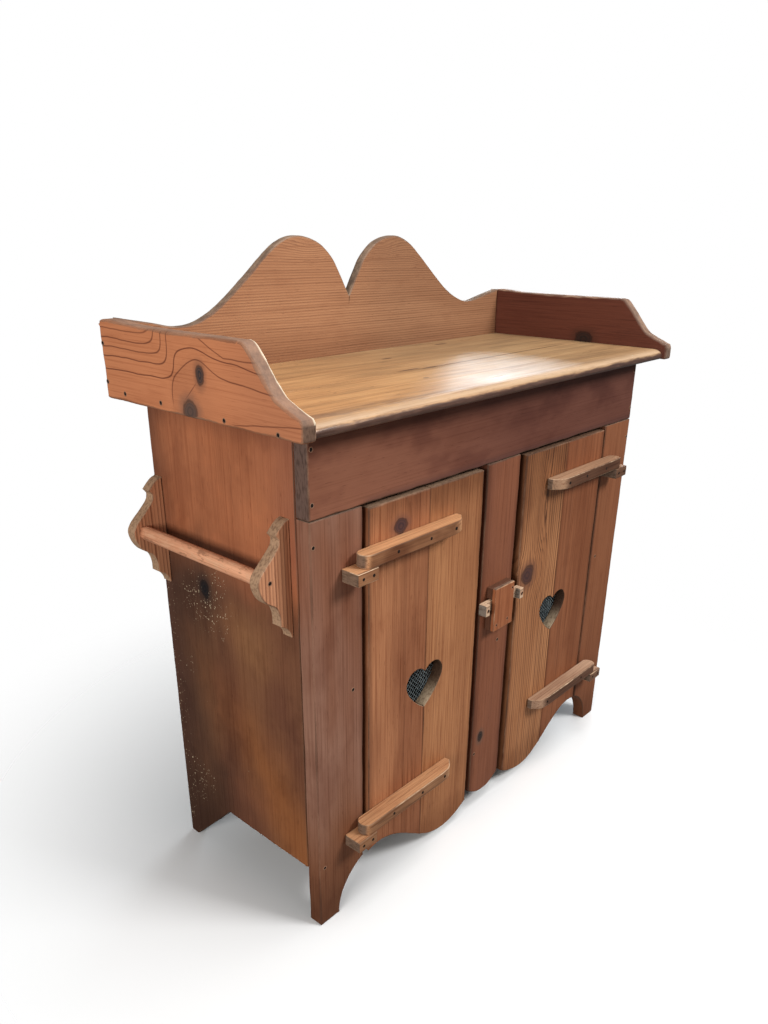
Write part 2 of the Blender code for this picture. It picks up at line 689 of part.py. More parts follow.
def bracket_outline():
    """The towel bracket's scroll as (distance out from the side panel, z)."""
    reach = BRACKET_REACH
    upper = BRACKET_TOP - ROD_HEIGHT
    lower = ROD_HEIGHT - BRACKET_BOTTOM
    nose = smooth([
        (0.0, BRACKET_TOP),
        (0.14 * reach, BRACKET_TOP - 0.03 * upper),
        (0.30 * reach, BRACKET_TOP - 0.12 * upper),
        (0.43 * reach, BRACKET_TOP - 0.22 * upper),
    ], FEWEST_STEPS)
    scroll = smooth([
        (0.33 * reach, BRACKET_TOP - 0.31 * upper),
        (0.37 * reach, BRACKET_TOP - 0.44 * upper),
        (0.61 * reach, BRACKET_TOP - 0.62 * upper),
        (0.89 * reach, BRACKET_TOP - 0.81 * upper),
        (reach, ROD_HEIGHT + 0.03 * upper),
        (0.94 * reach, ROD_HEIGHT - 0.15 * lower),
        (0.78 * reach, ROD_HEIGHT - 0.30 * lower),
        (0.51 * reach, ROD_HEIGHT - 0.42 * lower),
        (0.40 * reach, ROD_HEIGHT - 0.58 * lower),
        (0.39 * reach, ROD_HEIGHT - 0.75 * lower),
    ], FEW_STEPS)
    tail = smooth([
        (0.20 * reach, ROD_HEIGHT - 0.83 * lower),
        (0.10 * reach, ROD_HEIGHT - 0.92 * lower),
        (0.06 * reach, BRACKET_BOTTOM),
    ], FEWEST_STEPS)
    return [*nose, *scroll, *tail, (0.0, BRACKET_BOTTOM)]


def build_towel_bars():
    outline = bracket_outline()
    wall = HALF_WIDTH + SEAT_GAP
    rear_depth = CASE_DEPTH - REAR_BRACKET_SETBACK - BRACKET_THICKNESS
    rod_start = FRONT_BRACKET_DEPTH + BRACKET_THICKNESS + SEAT_GAP
    rod_end = rear_depth - SEAT_GAP
    nail_length = BRACKET_THICKNESS + SEAT_GAP + TOWEL_NAIL_BITE
    nail_depths = {
        "front": FRONT_BRACKET_DEPTH + nail_length / 2,
        "rear": rear_depth + BRACKET_THICKNESS - nail_length / 2,
    }
    bracket_depths = {"front": FRONT_BRACKET_DEPTH, "rear": rear_depth}
    for word, side in SIDES:
        shape = [(side * (wall + u), v) for u, v in outline]
        rod_x = side * (wall + ROD_OFFSET)
        rod_name = f"{word}_towel_rod"
        rod_mesh = cylinder_mesh(rod_name, ROD_RADIUS, rod_end - rod_start, ROD_SIDES)
        rod = add_part(rod_name, rod_mesh, along_y(rod_x, (rod_start + rod_end) / 2, ROD_HEIGHT), PALE_PINE)
        for place, depth in bracket_depths.items():
            name = f"{word}_{place}_towel_bracket"
            mesh = flat_mesh(name, [shape], BRACKET_THICKNESS)
            bracket = add_part(name, mesh, facing_front(depth + BRACKET_THICKNESS / 2), PINE)
            soften(bracket, BOARD_EDGE, 1)
            nail_place = along_y(rod_x, nail_depths[place], ROD_HEIGHT)
            nail_name = f"{word}_{place}_towel_nail"
            nail_mesh = cylinder_mesh(nail_name, TOWEL_NAIL_RADIUS, nail_length, NAIL_SIDES)
            add_part(nail_name, nail_mesh, nail_place, IRON, roughness=0.6, metallic=0.7)
            bore = TOWEL_NAIL_RADIUS + SEAT_GAP
            for piece in (bracket, rod):
                drill(piece, bore, nail_length + 2 * SEAT_GAP, nail_place)


clear_scene()
PART = collection("dry_sink")
CUTTERS = collection("cutters")
build_sides()
build_face_frame()
build_back()
build_shelves()
build_top()
build_gallery()
build_backsplash()
build_doors()
build_latch()
build_towel_bars()
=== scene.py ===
"""Looks of the dry sink: worn pine boards, wooden hinges, wire mesh behind the hearts and old nails.

Metres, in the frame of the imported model. The front faces -Y. Every board is its own closed surface: a
profile of rounded arrises carried round the board's outline, worn by smooth seeded waves.
"""

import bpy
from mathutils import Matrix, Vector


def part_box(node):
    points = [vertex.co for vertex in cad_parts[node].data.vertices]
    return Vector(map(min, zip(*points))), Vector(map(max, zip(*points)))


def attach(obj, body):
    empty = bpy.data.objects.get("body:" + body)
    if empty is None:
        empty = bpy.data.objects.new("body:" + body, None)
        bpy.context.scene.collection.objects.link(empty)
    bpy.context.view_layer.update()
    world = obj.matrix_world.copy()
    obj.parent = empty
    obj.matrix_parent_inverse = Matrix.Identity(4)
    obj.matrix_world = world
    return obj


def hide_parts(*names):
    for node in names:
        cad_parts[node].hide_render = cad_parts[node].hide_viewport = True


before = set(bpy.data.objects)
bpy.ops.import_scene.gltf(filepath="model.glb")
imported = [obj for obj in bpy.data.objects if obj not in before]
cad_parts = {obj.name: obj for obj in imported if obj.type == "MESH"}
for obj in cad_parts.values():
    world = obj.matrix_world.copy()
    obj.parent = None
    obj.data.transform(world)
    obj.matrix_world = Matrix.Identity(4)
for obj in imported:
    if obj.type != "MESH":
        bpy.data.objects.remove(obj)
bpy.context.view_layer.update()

import math

import bpy
import numpy as np
from mathutils import Matrix

X, Y, Z = 0, 1, 2
LOW = {node: np.array(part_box(node)[0]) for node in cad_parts}
HIGH = {node: np.array(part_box(node)[1]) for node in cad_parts}
FRONT_Y = LOW["top_rail"][Y]
CASE_TOP = HIGH["top_rail"][Z]
SIDES = (("left", -1), ("right", 1))
MILLIMETRE = 0.001


def between(node, axis):
    """Where a node starts and ends along an axis."""
    return LOW[node][axis], HIGH[node][axis]


def middle(node, axis):
    """The middle of a node along an axis."""
    return sum(between(node, axis)) / 2


# Outline measures that the boxes of the pieces don't give
SIDE_CUT_HEIGHT = 0.111
REAR_FOOT_TOP = 0.129
REAR_FOOT_BASE = 0.020
FOOT_WIDTH = 0.045
ARCH_HEIGHT = 0.095
ARCH_SPAN = 0.095
LOBE_OFFSET = 0.140
LOBE_HEIGHT = 0.0155
CUSP_HEIGHT = 0.046
CENTRE_DROP = 0.019
NOSE_RADIUS = 0.007
NOSE_ROLL = 0.022
NOSE_DROP = 0.0125
OGEE_LENGTH = 0.112
OGEE_HOLLOW = 0.0048
OGEE_WAIST_HEIGHT = 0.056
GALLERY_NOSE_HEIGHT = 0.030
HUMP_HEIGHT = 0.230
HUMP_OFFSET = 0.128
NOTCH_HEIGHT = 0.127
DIP_HEIGHT = 0.097
DIP_OFFSET = 0.385
END_HEIGHT = 0.117
HEART_WIDTH = 0.096
HEART_HEIGHT = 0.082
HEART_CLEFT = 0.010
HEART_TIP_HEIGHT = 0.322
HEART_GAP = 0.0003
BAR_PROW = 0.042
BAR_TIP = 0.012
BRACKET_REACH = 0.0605
ROD_RADIUS = 0.0115
ROD_WEAR = 0.00035
ROD_EASE = 0.0012
KNOB_WIDTH = 0.013
BOLT_WEB = 0.0075
MESH_PITCH = 0.00635
WIRE_RADIUS = 0.00042
GALLERY_INSET = 0.0006
GALLERY_BLUNT = 0.006

# Rear swell of a gallery, as distances in from its rear edge and heights over its top edge
GALLERY_SWELL = ((0.0, -0.0035), (0.0012, -0.0003), (0.0042, 0.0024), (0.012, 0.0038), (0.035, 0.0041),
                 (0.070, 0.0012), (0.100, 0.0))

# Worked from the boxes
CENTRE_EDGE = HIGH["centre_stile"][X]
STILE_EDGE = LOW["right_stile"][X]
STILE_TOP = HIGH["left_stile"][Z]
HALF_WIDTH = HIGH["right_stile"][X]
ARCH_CROWN = HALF_WIDTH - FOOT_WIDTH - ARCH_SPAN
DOOR_JOINT = (HIGH["right_door_inner_board"][X] + LOW["right_door_outer_board"][X]) / 2
DOOR_TOP = HIGH["right_door_inner_board"][Z]
INNER_EDGE = LOW["right_door_inner_board"][X]
OUTER_EDGE = HIGH["right_door_outer_board"][X]
HINGE_X = middle("right_upper_hinge_pin", X)
HINGE_Y = middle("right_upper_hinge_pin", Y)
BAR_RADIUS = (HIGH["right_upper_hinge_bar"][Y] - LOW["right_upper_hinge_bar"][Y]) / 2
BAR_FRONT = HINGE_Y - BAR_RADIUS
BOLT_HALF = HIGH["latch_bolt"][X]
BOLT_FACE = LOW["latch_bolt"][Y]
ROD_HEIGHT = middle("left_towel_rod", Z)
GALLERY_NOSE = LOW["left_gallery"][Z] + GALLERY_NOSE_HEIGHT


# Outlines


def outer_first(node, side):
    """Where a node starts and ends along X, from its outer face inwards."""
    return between(node, X)[::-side]


def rectangle(node, axis):
    """A node's box seen along an axis."""
    a, b = (i for i in range(3) if i != axis)
    low, high = LOW[node], HIGH[node]
    return [(low[a], low[b]), (high[a], low[b]), (high[a], high[b]), (low[a], high[b])]


def flowing(points, steps=10):
    """A smooth curve through the points: each span is a cubic in equal steps, whose slope at a point is half
    the way from the point before it to the one after. The ends are kept."""
    knots = np.array(points, float)
    padded = np.vstack([knots[:1], knots, knots[-1:]])
    t = np.linspace(0, 1, steps, endpoint=False)[None, :, None]
    before, start, end, after = (padded[i:len(knots) - 1 + i, None] for i in range(4))
    curve = 0.5 * (
        2 * start
        + (end - before) * t
        + (2 * before - 5 * start + 4 * end - after) * t**2
        + (3 * start - before - 3 * end + after) * t**3
    )
    return np.vstack([curve.reshape(-1, 2), knots[-1:]])


def rounded(points, radius, sharp_turn=20, count=6):
    """Every corner over the sharp turn, in degrees, becomes a short quadratic curve of count points that
    starts and ends on its two sides."""
    points = np.array(points, float)
    back = np.roll(points, 1, 0) - points
    ahead = np.roll(points, -1, 0) - points
    back_length = np.linalg.norm(back, axis=1)
    ahead_length = np.linalg.norm(ahead, axis=1)
    straight = -(back * ahead).sum(1) / (back_length * ahead_length)
    sharp = straight < math.cos(math.radians(sharp_turn))
    reach = np.minimum(radius, 0.45 * np.minimum(back_length, ahead_length))
    t = np.linspace(0, 1, count)[None, :, None]
    start = (points + back * (reach / back_length)[:, None])[:, None]
    end = (points + ahead * (reach / ahead_length)[:, None])[:, None]
    corner = points[:, None]
    curves = (1 - t) ** 2 * start + 2 * t * (1 - t) * corner + t**2 * end
    plain = np.repeat(corner, count, 1)
    keep = sharp[:, None] | (np.arange(count) == 0)[None]
    return np.where(sharp[:, None, None], curves, plain)[keep]


def divided(points, step):
    """The closed path with its own points kept and others added no more than a step apart, anticlockwise."""
    x, y = points.T
    if (x * np.roll(y, -1) - np.roll(x, -1) * y).sum() < 0:
        points = points[::-1]
    closed = np.vstack([points, points[:1]])
    counts = np.maximum(1, np.ceil(np.linalg.norm(np.diff(closed, axis=0), axis=1) / step)).astype(int)
    span = np.repeat(np.arange(len(points)), counts)
    share = (np.arange(counts.sum()) - np.repeat(np.cumsum(counts) - counts, counts)) / counts[span]
    return closed[span] + (closed[span + 1] - closed[span]) * share[:, None]


def inward(path):
    """Unit normals to the left of travel, which is inwards on an anticlockwise path."""
    tangent = np.roll(path, -1, 0) - np.roll(path, 1, 0)
    tangent /= np.linalg.norm(tangent, axis=1)[:, None]
    return np.stack([-tangent[:, 1], tangent[:, 0]], 1)


def room(path, normal):
    """How far each point can move along its normal before it meets ground nearer to another point: the radius
    of the largest circle that touches the path there and holds no other point of it."""
    reach = path[None] - path[:, None]
    ahead = np.einsum("ijk,ik->ij", reach, normal)
    square = (reach**2).sum(-1)
    radius = np.where(ahead > 1e-9, square / (2 * np.maximum(ahead, 1e-9)), 1.0)
    return radius.min(1)


def rub(place, seed, waves=7, slowest=4.0, fastest=70.0):
    """Smooth wear between about -1 and 1: a sum of sines of the place, with seeded directions and phases."""
    dice = np.random.default_rng(seed)
    turns = np.geomspace(slowest, fastest, waves)
    aim = dice.normal(size=(waves, place.shape[-1]))
    aim /= np.linalg.norm(aim, axis=1)[:, None]
    phase = dice.uniform(0, 2 * math.pi, waves)
    weight = turns**-0.4
    sines = np.sin(2 * math.pi * (place @ (aim * turns[:, None]).T) + phase)
    return (sines * weight).sum(-1) / weight.sum() * 1.6


def wear_share(place, seed):
    """Smooth wear between about 0.1 and 1."""
    return 0.55 + 0.45 * rub(place, seed)


def foot_line(x):
    """Height of the scalloped foot at a distance from the middle: a bowl, a lobe and a quarter arch."""
    x = np.asarray(x, float)
    bowl = CUSP_HEIGHT - CENTRE_DROP * (1 - (x / CENTRE_EDGE) ** 2)
    fall = (LOBE_OFFSET - x) / (LOBE_OFFSET - CENTRE_EDGE)
    lobe = LOBE_HEIGHT + (CUSP_HEIGHT - LOBE_HEIGHT) * fall**2
    rise = np.clip((x - LOBE_OFFSET) / (ARCH_CROWN - LOBE_OFFSET), 0, 1)
    climb = LOBE_HEIGHT + (ARCH_HEIGHT - LOBE_HEIGHT) * (1 - np.cos(math.pi * rise)) / 2
    arch = ARCH_HEIGHT * np.sqrt(np.clip(1 - ((x - ARCH_CROWN) / ARCH_SPAN) ** 2, 0, 1))
    return np.select([x <= CENTRE_EDGE, x <= LOBE_OFFSET, x <= ARCH_CROWN], [bowl, lobe, climb], arch)


def half_heart():
    """The heart's edge from its cleft round one lobe to its tip, as distance from the joint and height."""
    half = HEART_WIDTH / 2
    top = HEART_TIP_HEIGHT + HEART_HEIGHT
    return flowing([
        (HEART_GAP, top - HEART_CLEFT),
        (0.22 * half, top - 0.25 * HEART_CLEFT),
        (0.50 * half, top),
        (0.80 * half, top - 0.06 * HEART_HEIGHT),
        (half, top - 0.25 * HEART_HEIGHT),
        (0.93 * half, top - 0.45 * HEART_HEIGHT),
        (0.68 * half, top - 0.66 * HEART_HEIGHT),
        (0.34 * half, top - 0.86 * HEART_HEIGHT),
        (HEART_GAP, HEART_TIP_HEIGHT),
    ], 6)


# Meshes


def mesh_piece(name, places, faces, caps, body, slot, replaced, finish, **marks):
    """Puts one closed surface into the scene, with its per-point marks, its body and its finish. The slot is
    not used.
    All faces are smooth but the caps, which are the last ones."""
    smooth = np.ones(len(faces), bool)
    smooth[len(faces) - caps:] = False
    mesh = bpy.data.meshes.new(name)
    mesh.from_pydata(places.reshape(-1, 3), [], faces)
    mesh.polygons.foreach_set("use_smooth", smooth)
    for mark, values in marks.items():
        layer = mesh.attributes.new(mark, "FLOAT", "POINT")
        layer.data.foreach_set("value", np.ascontiguousarray(values, np.float32).ravel())
    mesh.materials.append(finish)
    mesh.update()
    piece = bpy.data.objects.new(name, mesh)
    bpy.context.scene.collection.objects.link(piece)
    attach(piece, body)
    if replaced:
        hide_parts(*replaced)


def ring_quads(rows, sides):
    """The faces between rows of points, each row a closed ring."""
    here = np.arange(rows - 1)[:, None] * sides
    side = np.arange(sides)
    after = np.roll(side, -1)
    corners = [here + side, here + sides + side, here + sides + after, here + after]
    return np.stack(corners, -1).reshape(-1, 4)


def board(name, outline, axis, finish, slot, grain, body="case", edge=0.002, wear=0.3, step=0.006,
          corner=0.003, rings=3, span=None, worn=None, cut=None):
    """A board: an outline carried along one axis between two places, which are its node's own unless a span
    is given. A board that lies flat starts at its top.

    Each ring of the profile is the outline moved inwards along its normals. Through the front arris the inset
    and the depth follow a quarter circle of the edge's radius, then come the wall and the rear arris. The
    radius has a smooth wave and shrinks into tight corners so that no ring crosses itself. Wear, in
    millimetres, adds a smooth wave to the inset. The marks say where an arris is rubbed, where a sawn edge is
    worn and where the wall shows end grain.
    """
    if span is None:
        span = between(name, axis)[::-1 if axis == Z else 1]
    seed = sum(map(ord, name))
    others = [i for i in range(3) if i != axis]
    path = divided(rounded(outline, corner), step)
    normal = inward(path)
    count = len(path)
    thick = abs(span[1] - span[0])
    way = np.sign(span[1] - span[0])
    radius = edge(path) if callable(edge) else np.full(count, edge)
    radius = np.minimum(radius, 0.48 * thick)
    radius = np.minimum(radius * (1 + 0.45 * rub(path, seed)), 0.9 * room(path, normal))[:, None]
    turn = np.linspace(0, math.pi / 2, 5)
    walls = np.linspace(0, 1, rings + 2)[None, 1:-1]
    front = radius * (1 - np.sin(turn)), radius * (1 - np.cos(turn))
    wall = np.zeros((count, rings)), radius + (thick - 2 * radius) * walls
    rear = front[0][:, ::-1], thick - front[1][:, ::-1]
    inset = np.hstack([front[0], wall[0], rear[0]])
    depth = np.hstack([front[1], wall[1], rear[1]])
    rows = inset.shape[1]
    cell = np.dstack([np.repeat(path[:, None], rows, 1), depth])
    rubbed = wear * MILLIMETRE * wear_share(cell, seed + 1)
    rubbed[:, (0, -1)] = 0
    places = np.empty((count, rows, 3))
    places[..., others] = path[:, None] + normal[:, None] * (inset + rubbed)[..., None]
    places[..., axis] = span[0] + way * depth
    bend = np.concatenate([np.sin(2 * turn), np.zeros(rings), np.sin(2 * turn)])
    side = np.concatenate([np.sin(turn) ** 2, np.ones(rings), np.sin(turn[::-1]) ** 2])
    arris = np.repeat(bend[None], count, 0)
    rim = np.zeros((count, rows))
    if worn is not None:
        rim = worn(path)[:, None] * side
    end = np.zeros((count, rows))
    if grain != axis:
        end = np.abs(normal[:, others.index(grain)])[:, None] ** 2 * side
    else:
        end[:, (0, -1)] = 1.0
    if cut is not None:
        end = np.maximum(end, cut(path)[:, None] * side)
    here = np.arange(count)[:, None] * rows + np.arange(rows - 1)
    there = np.roll(here, -1, 0)
    quads = np.stack([here, there, there + 1, here + 1], -1).reshape(-1, 4)
    first = np.arange(count) * rows
    last = first + rows - 1
    # Seen along Y, the other two axes turn the opposite way
    if way * (1 if axis != Y else -1) > 0:
        first = first[::-1]
    else:
        quads = quads[:, ::-1]
        last = last[::-1]
    faces = quads.tolist() + [first.tolist(), last.tolist()]
    mesh_piece(name, places, faces, 2, body, slot, [name], finish, arris=arris, end=end, rim=rim)


def turned_rod(name, radius, finish, slot, sides=28, rows=40, seed=3):
    """A rod along Y: a circle carried down the middle of its node, a little worn, its ends eased off."""
    start, end = between(name, Y)
    share = np.concatenate([[0], np.linspace(0, 1, rows), [1]])
    turn = np.linspace(0, 2 * math.pi, sides, endpoint=False)
    cell = np.dstack(np.broadcast_arrays(share[:, None] * 0.3, np.cos(turn) * 0.02, np.sin(turn) * 0.02))
    reach = radius - ROD_WEAR * wear_share(cell, seed)
    reach[[0, -1]] -= ROD_EASE
    places = np.empty((len(share), sides, 3))
    places[..., X] = middle(name, X) + reach * np.cos(turn)
    places[..., Y] = (start + (end - start) * share)[:, None]
    places[..., Z] = middle(name, Z) + reach * np.sin(turn)
    first = np.arange(sides)
    last = first + (len(share) - 1) * sides
    faces = ring_quads(len(share), sides).tolist() + [first.tolist(), last[::-1].tolist()]
    marks = np.zeros((len(share), sides))
    mesh_piece(name, places, faces, 2, "case", slot, [name], finish, arris=marks, end=marks, rim=marks)


def turned_spots(name, spots, facing, profile, finish, slot, body, sides=14):
    """Small round pieces, one at each spot: a profile of radius and height turned about a direction."""
    facing = np.array(facing, float)
    across = np.roll(facing, 1)
    up = np.cross(facing, across)
    turn = np.linspace(0, 2 * math.pi, sides, endpoint=False)
    circle = np.cos(turn)[:, None] * across + np.sin(turn)[:, None] * up
    profile = np.array(profile)
    ring = profile[:, 0, None, None] * circle + profile[:, 1, None, None] * facing
    places = np.array(spots)[:, None, None] + ring[None]
    rows = len(profile)
    offset = np.arange(len(spots)) * rows * sides
    walls = ring_quads(rows, sides)[:, [0, 3, 2, 1]] + offset[:, None, None]
    side = np.arange(sides)
    bottoms = side[::-1] + offset[:, None]
    tops = side + (rows - 1) * sides + offset[:, None]
    faces = walls.reshape(-1, 4).tolist() + bottoms.tolist() + tops.tolist()
    mesh_piece(name, places, faces, 0, body, slot, None, finish)


def wire_net(screen, finish, slot, body, sides=6, rows=46):
    """Woven wire on the diagonal: two families of thin wires, each a hexagon carried along a straight line
    that weaves over and under by a cosine of the place, clipped to a rectangle."""
    low, high = LOW[screen][[X, Z]], HIGH[screen][[X, Z]]
    centre = (low + high) / 2
    half = (high - low) / 2
    reach = math.floor(half.sum() / math.sqrt(2) / MESH_PITCH)
    number = np.arange(-reach, reach + 1)
    lanes = number * MESH_PITCH
    share = np.linspace(0, 1, rows)
    turn = np.linspace(0, 2 * math.pi, sides, endpoint=False)
    all_places = []
    all_faces = []
    for along, across, over in (((1, 1), (-1, 1), 1), ((1, -1), (1, 1), -1)):
        along = np.array(along) / math.sqrt(2)
        across = np.array(across) / math.sqrt(2)
        shift = lanes[:, None] * across
        start = ((-half * np.sign(along) - shift) / along).max(1)
        end = ((half * np.sign(along) - shift) / along).min(1)
        kept = end - start > MESH_PITCH
        travel = start[kept, None] + (end - start)[kept, None] * share
        line = centre + shift[kept, None] + travel[..., None] * along
        weave = np.cos(math.pi * (travel / MESH_PITCH + number[kept, None])) * over
        ring = np.empty((kept.sum(), rows, sides, 3))
        ring[..., X] = line[..., 0, None] + WIRE_RADIUS * np.cos(turn) * across[0]
        ring[..., Z] = line[..., 1, None] + WIRE_RADIUS * np.cos(turn) * across[1]
        ring[..., Y] = (middle(screen, Y) + WIRE_RADIUS * weave)[..., None] + WIRE_RADIUS * np.sin(turn)
        quads = ring_quads(rows, sides)
        if np.cross([along[0], 0, along[1]], [across[0], 0, across[1]])[1] > 0:
            quads = quads[:, ::-1]
        wires = np.arange(kept.sum()) * rows * sides + sum(len(places) for places in all_places)
        all_faces += (quads + wires[:, None, None]).reshape(-1, 4).tolist()
        all_places.append(ring.reshape(-1, 3))
    mesh_piece(screen + "_net", np.vstack(all_places), all_faces, 0, body, slot, [screen], finish)


# Finishes


class Wire:
    """One value in a finish's node tree. Arithmetic on it adds Math nodes."""

    def __init__(self, finish, socket):
        self.finish = finish
        self.socket = socket

    def math(self, operation, *others):
        """A Math node with this value first."""
        inputs = dict(enumerate((self, *others)))
        return self.finish.node("ShaderNodeMath", {"operation": operation}, inputs)

    def flipped(self, operation, first):
        """A Math node with this value second."""
        return self.finish.node("ShaderNodeMath", {"operation": operation}, {0: first, 1: self})

    def __add__(self, other):
        return self.math("ADD", other)

    def __sub__(self, other):
        return self.math("SUBTRACT", other)

    def __mul__(self, other):
        return self.math("MULTIPLY", other)

    def __truediv__(self, other):
        return self.math("DIVIDE", other)

    def __rsub__(self, other):
        return self.flipped("SUBTRACT", other)

    def __rtruediv__(self, other):
        return self.flipped("DIVIDE", other)

    __radd__ = __add__
    __rmul__ = __mul__

    def least(self, other):
        """The smaller of two values."""
        return self.math("MINIMUM", other)

    def most(self, other):
        """The larger of two values."""
        return self.math("MAXIMUM", other)

    def soft_most(self, other, ease):
        """The larger of two values, eased where they meet."""
        return self.math("SMOOTH_MAX", other, ease)

    def soft_least(self, other, ease):
        """The smaller of two values, eased where they meet."""
        return self.math("SMOOTH_MIN", other, ease)

    def step(self, low, high):
        """0 below low, 1 above high, and an S between."""
        inputs = {0: self, 1: low, 2: high}
        return self.finish.node("ShaderNodeMapRange", {"interpolation_type": "SMOOTHSTEP"}, inputs)

    def hump(self, middle, width):
        """1 at the middle, falling to 0 one width away."""
        return 1 - (self - middle).math("ABSOLUTE").step(0.0, width)


class Finish:
    """One material, with the place on the object as x, y and z."""

    def __init__(self, name):
        self.material = bpy.data.materials.new(name)
        self.material.use_nodes = True
        self.tree = self.material.node_tree
        self.tree.nodes.clear()
        self.shader = self.tree.nodes.new("ShaderNodeBsdfPrincipled")
        output = self.tree.nodes.new("ShaderNodeOutputMaterial")
        self.tree.links.new(self.shader.outputs[0], output.inputs[0])
        spot = self.node("ShaderNodeTexCoord", out="Object")
        split = self.node("ShaderNodeSeparateXYZ", inputs={0: spot})
        self.x, self.y, self.z = (Wire(self, socket) for socket in split.socket.node.outputs)

    def node(self, kind, settings=None, inputs=None, out=0):
        """Adds a node, first its settings and then its sockets, and gives one of its outputs."""
        made = self.tree.nodes.new(kind)
        for key, value in (settings or {}).items():
            setattr(made, key, value)
        for key, value in (inputs or {}).items():
            self.feed(made.inputs[key], value)
        return Wire(self, made.outputs[out])

    def feed(self, socket, value):
        """Links a socket to a value in the tree, or sets a fixed one."""
        if isinstance(value, Wire):
            self.tree.links.new(value.socket, socket)
        elif isinstance(value, tuple) and len(value) == 3 and socket.type == "RGBA":
            socket.default_value = (*value, 1.0)
        else:
            socket.default_value = value

    def noise(self, x, y, z, detail=2.0, roughness=0.5):
        """Smooth noise from about 0.2 to 0.8 at a place that is already scaled to cells."""
        place = self.node("ShaderNodeCombineXYZ", inputs={0: x, 1: y, 2: z})
        inputs = {"Vector": place, "Scale": 1.0, "Detail": detail, "Roughness": roughness}
        return self.node("ShaderNodeTexNoise", None, inputs)

    def line_noise(self, place, detail=0.0):
        """Smooth noise of one number, five cells to a unit."""
        inputs = {"W": place, "Detail": detail}
        return self.node("ShaderNodeTexNoise", {"noise_dimensions": "1D"}, inputs)

    def mark(self, name):
        """A mark that the mesh holds for each point."""
        return self.node("ShaderNodeAttribute", {"attribute_name": name}, out="Fac")

    def mix(self, share, first, second, kind="MIX"):
        """Brings a share of the second colour to the first."""
        settings = {"data_type": "RGBA", "blend_type": kind}
        return self.node("ShaderNodeMix", settings, {0: share, 6: first, 7: second}, 2)

    def layered(self, colour, *layers):
        """Lays colours over each other in turn. Each layer is a share, a colour and, if it shades, SHADE."""
        for share, *rest in layers:
            colour = self.mix(share, colour, *rest)
        return colour

    def done(self, colour, roughness, height=None, lift=0.001, **fixed):
        """Feeds the shader a colour, a roughness, a bump from a height, and fixed values by socket name."""
        self.feed(self.shader.inputs["Base Color"], colour)
        self.feed(self.shader.inputs["Roughness"], roughness)
        if height is not None:
            inputs = {"Strength": 0.6, "Distance": lift, "Height": height}
            self.feed(self.shader.inputs["Normal"], self.node("ShaderNodeBump", None, inputs))
        for key, value in fixed.items():
            self.feed(self.shader.inputs[key.replace("_", " ")], value)
        return self.material


SHADE = "MULTIPLY"
WORN = (0.36, 0.22, 0.14)
END_GRAIN = (0.19, 0.135, 0.10)
# Dark arris colour: grime, with painted shade along the edges
GRIME_AND_SHADE = (0.070, 0.036, 0.023)

# What pine's own marks multiply its colour by
PATCH_SHADE = (0.72, 0.64, 0.60)
FIBRE_LIGHT = (1.28, 1.32, 1.34)
FIBRE_SHADE = (0.62, 0.50, 0.44)
HAIR_SHADE = (0.68, 0.58, 0.53)
TICK_SHADE = (0.42, 0.33, 0.30)
SMUDGE_SHADE = (0.72, 0.62, 0.58)
# For soil, and for painted shade
SOIL_AND_SHADE_TINT = (0.30, 0.23, 0.21)
RING_END_SHADE = (0.60, 0.57, 0.55)
RUBBED_LIGHT = (1.15, 1.15, 1.15)
KNOT_RIM_SHADE = (0.5, 0.5, 0.5)


def shaded(colour, share):
    """A colour made darker or lighter by a share for each channel."""
    return tuple(min(1.0, a * b) for a, b in zip(colour, share))


def bell(place, middle, width):
    """1 at the middle, falling off as the exponential of minus the squared distance in widths."""
    away = (place - middle) / width
    return (0 - away * away).math("EXPONENT")


def mound(du, dv):
    """1 in the middle, falling off all round as the exponential of minus the sum of two squared distances."""
    return (0 - du * du - dv * dv).math("EXPONENT")


